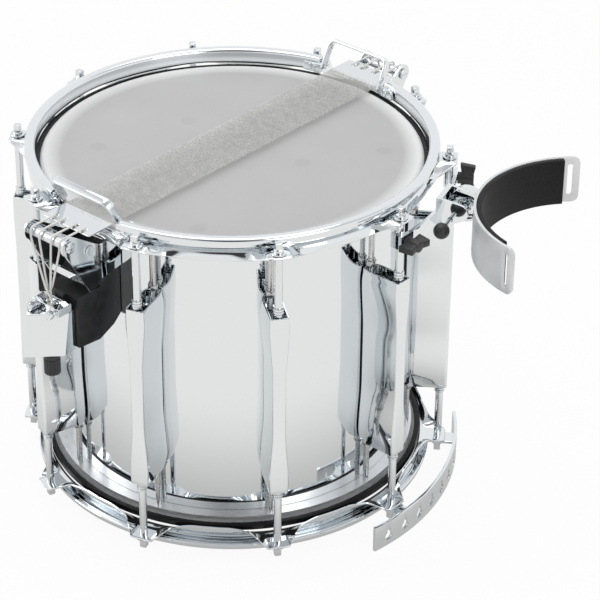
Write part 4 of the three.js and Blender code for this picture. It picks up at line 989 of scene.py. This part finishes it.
def makeGuard(name, node, place, end):
    s = guardSizes
    top = headSizes["top"]
    run, rise = s["topReach"] - s["footReach"], s["topRise"] - s["footRise"]
    lean, tall, thin = degrees(atan2(run, rise)), hypot(run, rise), s["thickness"]
    outline = guardBow(s["halfSpan"], tall, s["cornerRadius"])
    outline += guardBow(s["halfSpan"] - thin, tall - thin, s["cornerRadius"] - thin)[::-1]
    form = bevelled(pushed(outline, -s["width"] / 2, s["width"] / 2, "X"), s["ease"], 40, 3)
    parts = [moved(spun(form, lean, "Y"), s["footReach"], 0, top + s["footRise"])]
    half = s["tabLength"] / 2
    outer = sqrt((s["wallRadius"] - s["wallGap"]) ** 2 - half ** 2)
    low, screwHeight = top + s["tabRise"], top + s["screwRise"]
    for foot in (-1, 1):
        angle = degrees(asin((foot * s["footSide"] + end * snareOffset) / s["wallRadius"]))
        corners = softened(rectangle(-half, low, half, low + s["tabHeight"]), s["tabCorner"])
        tab = bevelled(pushed(corners, outer - s["tabThickness"], outer, "X"), s["tabEase"], 50)
        head = spun(slottedScrew(s["screwHead"], s["screwHeadHeight"]), -90, "Y")
        moved(head, x=outer - s["tabThickness"], z=screwHeight)
        nut = hexNut(s["nutRadius"], 0, s["nutHeight"], "X", screwHeight)
        moved(nut, x=hoopSizes["lipBendRadius"] + s["nutGap"])
        tip = threaded(s["screwRadius"], 0, s["screwLength"], s["screwPitch"], s["threadDepth"], 16, "X")
        moved(tip, x=outer - s["overlap"], z=screwHeight)
        parts.append(moved(spun(together(tab, head, nut, tip), angle), y=-end * snareOffset))
    show(name, together(*parts), place, "chrome", body[node], [node], sharp=35)


makeGuard("frontGuardBow", "front_guard", strainer, 1)
makeGuard("rearGuardBow", "rear_guard", butt, -1)
print("guards bent")


# Strainer and butt

for name, node, place, look, width in (
    ("strainerHousing", "strainer_base", strainer, "plastic", 0.8),
    ("strainerBracketPlate", "strainer_bracket", strainer, "chrome", 0.35),
    ("throwOffFrame", "roller_frame", strainer, "chrome", 0.35),
    ("slidingCarriage", "carriage", strainer, "cast", 0.8),
    ("frontCordClamp", "cord_clamp", strainer, "cast", 0.5),
    ("buttBracketPlate", "butt_bracket", butt, "chrome", 0.4),
    ("rearCordClamp", "rear_clamp", butt, "cast", 0.5),
):
    show(name, fromNode(node, width, place), place, look, body[node], [node], flats=True)

clampScrewSizes = dict(side=12, height=86.3, seat=238, tip=247.2, headRadius=4.3, headHeight=4.8,
                       washerRadius=4.8, washerHeight=1.2, washerEase=0.3)


def makeClampScrews(name, node, place):
    s = clampScrewSizes
    parts = []
    for side in (-s["side"], s["side"]):
        head = moved(spun(slottedScrew(s["headRadius"], s["headHeight"]), 90, "Y"),
                     s["tip"] - s["headHeight"])
        washer = barrel(s["washerRadius"], s["seat"], s["seat"] + s["washerHeight"], s["washerEase"],
                        axis="X")
        parts += [moved(form, y=side, z=s["height"]) for form in (head, washer)]
    show(name, together(*parts), place, "rod", body[node])


makeClampScrews("frontClampScrews", "cord_clamp", strainer)
makeClampScrews("rearClampScrews", "rear_clamp", butt)

rollerSizes = dict(reach=227.5, height=153.0, radius=4.8, half=22, ease=0.5, axleRadius=2.2, headInner=24.6,
                   headHeight=2.0, headRadius=5.5)


def makeRoller(name, node, place):
    s = rollerSizes
    parts = [barrel(s["radius"], -s["half"], s["half"], s["ease"], 40, "Y"),
             barrel(s["axleRadius"], -s["headInner"], s["headInner"], steps=20, axis="Y")]
    for end in (-1, 1):
        head = spun(slottedScrew(s["headRadius"], s["headHeight"]), -90 * end, "X")
        parts.append(moved(head, y=end * s["headInner"]))
    show(name, moved(together(*parts), x=s["reach"], z=s["height"]), place, "rod", body[node], [node])


makeRoller("frontCordRoller", "front_roller", strainer)
makeRoller("rearCordRoller", "rear_roller", butt)

# The flutes' shares are of the angle that one flute takes
knobSizes = dict(radius=7.6, flutes=20, fluteDepth=0.55, ridgeShare=0.45, grooveFrom=0.62, grooveTo=0.83,
                 ease=0.35, capHeight=4.5, capInset=0.2, capEase=0.8, stemRadius=2.5, stemTop=16.3,
                 stemPitch=1.1, threadDepth=0.3, overlap=0.5)


def makeKnob():
    s = knobSizes
    low, high = localBox("strainer_knob", strainer)
    heart = (low + high) / 2
    top = high.z - s["stemTop"]
    wide = 360 / s["flutes"]
    outline = []
    for i in range(s["flutes"]):
        turn = wide * i
        outline += arc(0, 0, s["radius"], turn, turn + wide * s["ridgeShare"], 1)
        outline += arc(0, 0, s["radius"] - s["fluteDepth"], turn + wide * s["grooveFrom"],
                       turn + wide * s["grooveTo"], 1)
    grip = bevelled(pushed(outline, low.z, top - s["capHeight"]), s["ease"], 50, 1)
    cap = barrel(s["radius"] - s["capInset"], top - s["capHeight"], top, s["capEase"], 48)
    form = moved(together(grip, cap), heart.x, heart.y)
    show("knurledKnob", form, strainer, "plastic", body["strainer_knob"], ["strainer_knob"])
    stem = threaded(s["stemRadius"], top - s["overlap"], high.z, s["stemPitch"], s["threadDepth"])
    show("knobStem", moved(stem, heart.x, heart.y), strainer, "rod", body["strainer_knob"])


makeKnob()
print("strainer and butt built")


# Leg rest: a painted curved plate with a foam pad, folding on a sprung lock

legSizes = dict(arcRadius=100, halfAngle=69, thickness=2.5, height=46, hinge=144, hingeReach=229, inset=14,
                slotHeight=32, slotWidth=5, slotInset=5.2, slotCorner=2.4, corner=7, cornerSteps=8, overrun=3,
                ease=0.5, steps=72, padThickness=5, padHalfAngle=60, padGap=0.3, padEase=1.1, padFill=0.9,
                knuckleGap=0.2, knuckleEase=0.4)
legCentre = legSizes["hingeReach"] + legSizes["inset"] + legSizes["arcRadius"]
legHalf = legSizes["height"] / 2


def curvedStrip(inner, outer, halfAngle, low, high):
    # A flat strip bent round the leg's middle, its ends facing round the arc
    outline = arc(legCentre, 0, outer, 180 - halfAngle, 180 + halfAngle, legSizes["steps"])
    outline += arc(legCentre, 0, inner, 180 + halfAngle, 180 - halfAngle, legSizes["steps"])
    return pushed(outline, low, high)


def makeLegPlate():
    s = legSizes
    inner, over, corner = s["arcRadius"] - s["thickness"], s["overrun"], s["corner"]
    low, high = s["hinge"] - legHalf, s["hinge"] + legHalf
    form = curvedStrip(inner, s["arcRadius"], s["halfAngle"], low, high)
    half, wide = s["slotHeight"] / 2, s["slotWidth"] / 2
    cutters = []
    for side in (-1, 1):
        corners = softened(rectangle(-wide, s["hinge"] - half, wide, s["hinge"] + half), s["slotCorner"], 4)
        slot = pushed(corners, inner - over, s["arcRadius"] + over, "X")
        cutters.append(moved(spun(slot, 180 + side * (s["halfAngle"] - s["slotInset"])), legCentre))
        for edge, up in ((low, -1), (high, 1)):
            # What is cut away to round a corner of the plate
            heart = edge - up * corner
            around = [(side * (u - corner), heart + up * v)
                      for u, v in arc(0, 0, corner, 90, 0, s["cornerSteps"])]
            around += [(side * over, heart), (side * over, edge + up * over),
                       (-side * corner, edge + up * over)]
            nib = pushed(around, inner - over, s["arcRadius"] + over, "X")
            cutters.append(moved(spun(nib, 180 + side * s["halfAngle"]), legCentre))
    for cutter in cutters:
        form = carved(form, cutter)
    form = bevelled(form, s["ease"], 50)
    show("legPlate", form, legSide, "paint", body["leg_plate"], ["leg_plate"])
    knuckle = fromNode("leg_plate", 0, legSide)
    keep = legCentre - s["arcRadius"] - s["knuckleGap"]
    bmesh.ops.bisect_plane(knuckle, geom=knuckle.verts[:] + knuckle.edges[:] + knuckle.faces[:],
                           plane_co=(keep, 0, 0), plane_no=(1, 0, 0), clear_outer=True)
    closeEnds(knuckle)
    show("legKnuckle", bevelled(knuckle, s["knuckleEase"], 40), legSide, "chrome", body["leg_plate"])


def makeLegPad():
    # A firm sheet of foam glued in the plate: bent to its curve, with soft edges
    s = legSizes
    outer = s["arcRadius"] - s["thickness"] - s["padGap"]
    low, high = s["hinge"] - legHalf + s["padGap"], s["hinge"] + legHalf - s["padGap"]
    form = curvedStrip(outer - s["padThickness"], outer, s["padHalfAngle"], low, high)
    pad = show("legPadFoam", bevelled(form, s["padEase"], 50, 3), legSide, "foam", body["leg_pad"],
               ["leg_pad"])


makeLegPlate()
makeLegPad()
show("legRestBracket", fromNode("leg_rest_mount", 0.4, legSide), legSide, "chrome", body["leg_rest_mount"],
     ["leg_rest_mount"], flats=True)

lockSizes = dict(reach=221, height=136, ball=7.4, ballTo=74, ballSteps=14, neck=2.6, neckLength=2, handle=-36,
                 radius=2, collar=4.4, collarLow=-0.4, collarHigh=1.6, tip=15.5, springRadius=3.5, wire=0.45,
                 springLow=-10.3, springHigh=-1.1, curls=6, stepsPerCurl=24, keep=0.6)


def makeLock():
    # The ball, the pin and the spring are drawn along Z and laid along the pin
    s = lockSizes
    ball = arc(0, s["handle"], s["ball"], -90, s["ballTo"], s["ballSteps"])
    shoulder = s["handle"] + s["ball"]
    neckTop = shoulder + s["neckLength"]
    grip = turned([(0, s["handle"] - s["ball"])] + ball[1:] + [(s["neck"], neckTop), (0, neckTop)], 40, "Y")
    show("lockBall", moved(grip, s["reach"], 0, s["height"]), legSide, "plastic", body["lock_pin"],
         ["lock_pin"])
    pin = turned([(0, shoulder), (s["radius"], shoulder), (s["radius"], s["collarLow"]),
                  (s["collar"], s["collarLow"]), (s["collar"], s["collarHigh"]),
                  (s["radius"], s["collarHigh"]), (s["radius"], s["tip"]), (0, s["tip"])], 28, "Y")
    show("lockPinRod", moved(pin, s["reach"], 0, s["height"]), legSide, "rod", body["lock_pin"])
    steps = s["curls"] * s["stepsPerCurl"]
    coil = bmesh.new()
    bmesh.ops.create_circle(coil, segments=10, radius=s["wire"])
    moved(spun(coil, 90, "X"), s["springRadius"])
    bmesh.ops.spin(coil, geom=coil.verts[:] + coil.edges[:], cent=(0, 0, 0), axis=(0, 0, 1),
                   dvec=(0, 0, (s["springHigh"] - s["springLow"]) / steps), angle=2 * pi * s["curls"],
                   steps=steps)
    closeEnds(coil)
    bmesh.ops.recalc_face_normals(coil, faces=coil.faces)
    lay(coil, "Y")
    spring = show("lockSpringCoil", moved(coil, s["reach"], s["springLow"], s["height"]), legSide, "spring",
                  body["lock_spring"], ["lock_spring"], sharp=60)
    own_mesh(spring)


makeLock()

wingSizes = dict(inner=211.6, outer=226, span=30, thickness=6.4, tipCorner=0.9, ease=1.1, hub=5.6,
                 hubDraft=0.4, hubInner=209.4, hubOuter=224.5, hubEase=0.8, height=135, waistInner=214,
                 waistOuter=223, slant=2.4, shank=3, pitch=1.2, threadDepth=0.3, overlap=1)


def makeWing(name, node, side, upright):
    s = wingSizes
    half = s["span"] / 2
    outline = softened([
        (s["waistInner"], 0), (s["inner"], -half), (s["outer"], s["slant"] - half), (s["waistOuter"], 0),
        (s["outer"], half - s["slant"]), (s["inner"], half),
    ], s["tipCorner"], 2)
    wings = bevelled(pushed(outline, -s["thickness"] / 2, s["thickness"] / 2), s["ease"], 40)
    hubLine = [(0, s["hubInner"]), (s["hub"], s["hubInner"]), (s["hub"] - s["hubDraft"], s["hubOuter"]),
               (0, s["hubOuter"])]
    form = together(wings, turned(softened(hubLine, s["hubEase"], closed=False), 32, "X"))
    if upright:
        spun(form, 90, "X")
    place = station(lugStep / 2 + side * lugStep / 2)
    show(name, moved(form, z=s["height"]), place, "plastic", body[node], [node])
    low, _ = localBox(node, place)
    shank = threaded(s["shank"], low.x, s["hubInner"] + s["overlap"], s["pitch"], s["threadDepth"], 20, "X")
    show(name + "Shank", moved(shank, z=s["height"]), place, "zinc", body[node])


makeWing("wingScrewLeft", "wing_screw_left", -1, False)
makeWing("wingScrewRight", "wing_screw_right", 1, True)
print("leg rest built")


# Carrying rail: a curved bar with nine keyholes, on two arms under the batter hoop's ears

railSizes = dict(arcRadius=234, arcOffset=-14, halfAngle=27.3, thickness=3, low=-180, high=-153.4, steps=72,
                 holes=9, span=0.84, holeRadius=4.6, holeRise=10, neckAngle=23, slotWidth=3.6, slotRise=9.5,
                 cut=8, ease=0.45, armHalf=8, armInner=196, armThickness=3, armCorner=2.5, armEase=0.5,
                 earGap=0.3)


def makeRail():
    s = railSizes
    outline = arc(s["arcOffset"], 0, s["arcRadius"], -s["halfAngle"], s["halfAngle"], s["steps"])
    outline += arc(s["arcOffset"], 0, s["arcRadius"] - s["thickness"], s["halfAngle"], -s["halfAngle"],
                   s["steps"])
    form = pushed(outline, s["low"], s["high"])
    heart, half = s["low"] + s["holeRise"], s["slotWidth"] / 2
    keyhole = arc(0, heart, s["holeRadius"], 90 + s["neckAngle"], 450 - s["neckAngle"], 20)
    keyhole += arc(0, heart + s["slotRise"] - half, half, 0, 180, 6)
    cutters = []
    for i in range(s["holes"]):
        angle = (2 * i / (s["holes"] - 1) - 1) * s["halfAngle"] * s["span"]
        hole = pushed(keyhole, s["arcRadius"] - s["cut"], s["arcRadius"] + s["cut"], "X")
        cutters.append(moved(spun(hole, angle), s["arcOffset"]))
    parts = [bevelled(carved(form, together(*cutters)), s["ease"], 50)]
    top = -(headSizes["top"] + hoopSizes["earHeight"] + hoopSizes["thickness"] / 2) - s["earGap"]
    reach = s["arcRadius"] + s["arcOffset"] - s["thickness"] / 2
    for side in (-1, 1):
        corners = softened(rectangle(s["armInner"], -s["armHalf"], reach, s["armHalf"]), s["armCorner"])
        arm = bevelled(pushed(corners, top - s["armThickness"], top), s["armEase"], 50)
        parts.append(spun(arm, side * lugStep / 2))
    show("carryingRail", together(*parts), legSide, "chrome", body["carry_rail"], ["carry_rail"])


makeRail()
print("rail built")


# Floor, lamps and the studio round them

floorSizes = dict(half=6, drop=0.0005, cameraGlow=0.94, mirrorGlow=0.92, nearReach=0.15, farReach=0.42,
                  nearShadowTone=0.5)


def makeFloor():
    # White paper: mirrors see it with a painted shadow, darker close to the drum, where the drum shades it
    s = floorSizes
    form = bmesh.new()
    bmesh.ops.create_grid(form, x_segments=1, y_segments=1, size=s["half"])
    mesh = bpy.data.meshes.new("studioFloor")
    form.to_mesh(mesh)
    form.free()
    mesh.transform(Matrix.Translation((0, 0, floorHeight - s["drop"])))
    material = bpy.data.materials.new("white_studio_floor")
    material.use_nodes = True
    tree = material.node_tree
    tree.nodes.clear()
    matt = addNode(tree, "ShaderNodeBsdfDiffuse", {"Color": linear("f4f4f4")})
    glow = addNode(tree, "ShaderNodeEmission", {"Color": linear("ffffff"), "Strength": 1.0})
    path = addNode(tree, "ShaderNodeLightPath")
    coords = addNode(tree, "ShaderNodeTexCoord").outputs["Object"]
    # Painted shadow for the mirrors: the floor's glow dims close to the drum
    reach = addNode(tree, "ShaderNodeVectorMath", {"operation": "LENGTH"}, {0: coords})
    shaded = addNode(tree, "ShaderNodeMapRange", {
        "interpolation_type": "SMOOTHSTEP", "From Min": s["nearReach"], "From Max": s["farReach"],
        "To Min": s["nearShadowTone"], "To Max": 1.0}, {"Value": reach.outputs["Value"]})
    mirrored = addNode(tree, "ShaderNodeEmission", {"Color": linear("fffdf9")},
                       {"Strength": shaded.outputs["Result"]})
    plain = addNode(tree, "ShaderNodeMath", {"operation": "MULTIPLY", 1: s["cameraGlow"]},
                    {0: path.outputs["Is Camera Ray"]})
    clear = addNode(tree, "ShaderNodeMath", {"operation": "MAXIMUM"},
                    {0: plain.outputs[0], 1: path.outputs["Is Transmission Ray"]})
    shine = addNode(tree, "ShaderNodeMath", {"operation": "MULTIPLY", 1: s["mirrorGlow"]},
                    {0: path.outputs["Is Glossy Ray"]})
    viewed = addNode(tree, "ShaderNodeMixShader", {},
                     {0: clear.outputs[0], 1: matt.outputs[0], 2: glow.outputs[0]})
    mixed = addNode(tree, "ShaderNodeMixShader", {},
                    {0: shine.outputs[0], 1: viewed.outputs[0], 2: mirrored.outputs[0]})
    addNode(tree, "ShaderNodeOutputMaterial", {}, {"Surface": mixed.outputs[0]})
    mesh.materials.append(material)
    floor = bpy.data.objects.new("studioFloor", mesh)
    scene.collection.objects.link(floor)


# The room's dark places: azimuth, elevation, cosines of the inner and outer half angle, and how dark
darkPatches = ((-49, 31, 0.975, 0.93, 0.97), (-49, 48, 0.9, 0.66, 0.42), (150, 70, 0.96, 0.86, 0.4),
               (40, 55, 0.97, 0.9, 0.3))
roomFill = 0.55  # how strongly the white room lights what isn't a mirror


def makeWorld():
    # White behind everything; mirrors also see the dim room in front of the drum and over the softboxes
    world = bpy.data.worlds.new("studio")
    scene.world = world
    world.use_nodes = True
    tree = world.node_tree
    tree.nodes.clear()
    way = addNode(tree, "ShaderNodeTexCoord").outputs["Generated"]
    path = addNode(tree, "ShaderNodeLightPath")
    dark = None
    for turn, height, inner, outer, depth in darkPatches:
        aim = (Matrix.Rotation(radians(turn), 3, "Z") @ Matrix.Rotation(radians(-height), 3, "Y")
               @ Vector((1, 0, 0)))
        facing = addNode(tree, "ShaderNodeVectorMath", {"operation": "DOT_PRODUCT", 1: aim}, {0: way})
        patch = addNode(tree, "ShaderNodeMapRange", {
            "interpolation_type": "SMOOTHSTEP", "From Min": outer, "From Max": inner, "To Min": 0.0,
            "To Max": depth}, {"Value": facing.outputs["Value"]})
        socket = patch.outputs["Result"]
        if dark:
            socket = addNode(tree, "ShaderNodeMath", {"operation": "MAXIMUM"},
                             {0: dark, 1: socket}).outputs[0]
        dark = socket
    room = addNode(tree, "ShaderNodeMix", {"data_type": "RGBA"}, {"Factor": dark})
    room.inputs[6].default_value = linear("ffffff")
    room.inputs[7].default_value = linear("2a2b2e")
    mirror = addNode(tree, "ShaderNodeBackground", {"Strength": 1.0}, {"Color": room.outputs[2]})
    plain = addNode(tree, "ShaderNodeBackground", {"Color": linear("ffffff"), "Strength": roomFill})
    white = addNode(tree, "ShaderNodeBackground", {"Color": linear("ffffff"), "Strength": 1.0})
    lit = addNode(tree, "ShaderNodeMixShader", {},
                  {0: path.outputs["Is Glossy Ray"], 1: plain.outputs[0], 2: mirror.outputs[0]})
    seen = addNode(tree, "ShaderNodeMath", {"operation": "MAXIMUM"},
                   {0: path.outputs["Is Camera Ray"], 1: path.outputs["Is Transmission Ray"]})
    final = addNode(tree, "ShaderNodeMixShader", {},
                    {0: seen.outputs[0], 1: lit.outputs[0], 2: white.outputs[0]})
    addNode(tree, "ShaderNodeOutputWorld", {}, {"Surface": final.outputs[0]})


lamps = dict(
    topBox=dict(place=(-0.3, 0.2, 2.2), size=1.6, power=16),
    leftBox=dict(place=(-1.6, -1.2, 1.3), size=1.2, power=9),
    rightBox=dict(place=(1.7, -0.4, 1.1), size=1.0, power=6),
)
lampTarget = Vector((0, 0, 0.15))


def makeLamps():
    for name, facts in lamps.items():
        data = bpy.data.lights.new(name, "AREA")
        data.shape = "SQUARE"
        data.size = facts["size"]
        data.energy = facts["power"]
        lamp = bpy.data.objects.new(name, data)
        place = Vector(facts["place"])
        aim = (lampTarget - place).to_track_quat("-Z", "Y").to_matrix()
        lamp.matrix_world = Matrix.Translation(place) @ aim.to_4x4()
        scene.collection.objects.link(lamp)


makeFloor()
makeWorld()
makeLamps()
scene.view_settings.view_transform = "Standard"
print("studio lit")
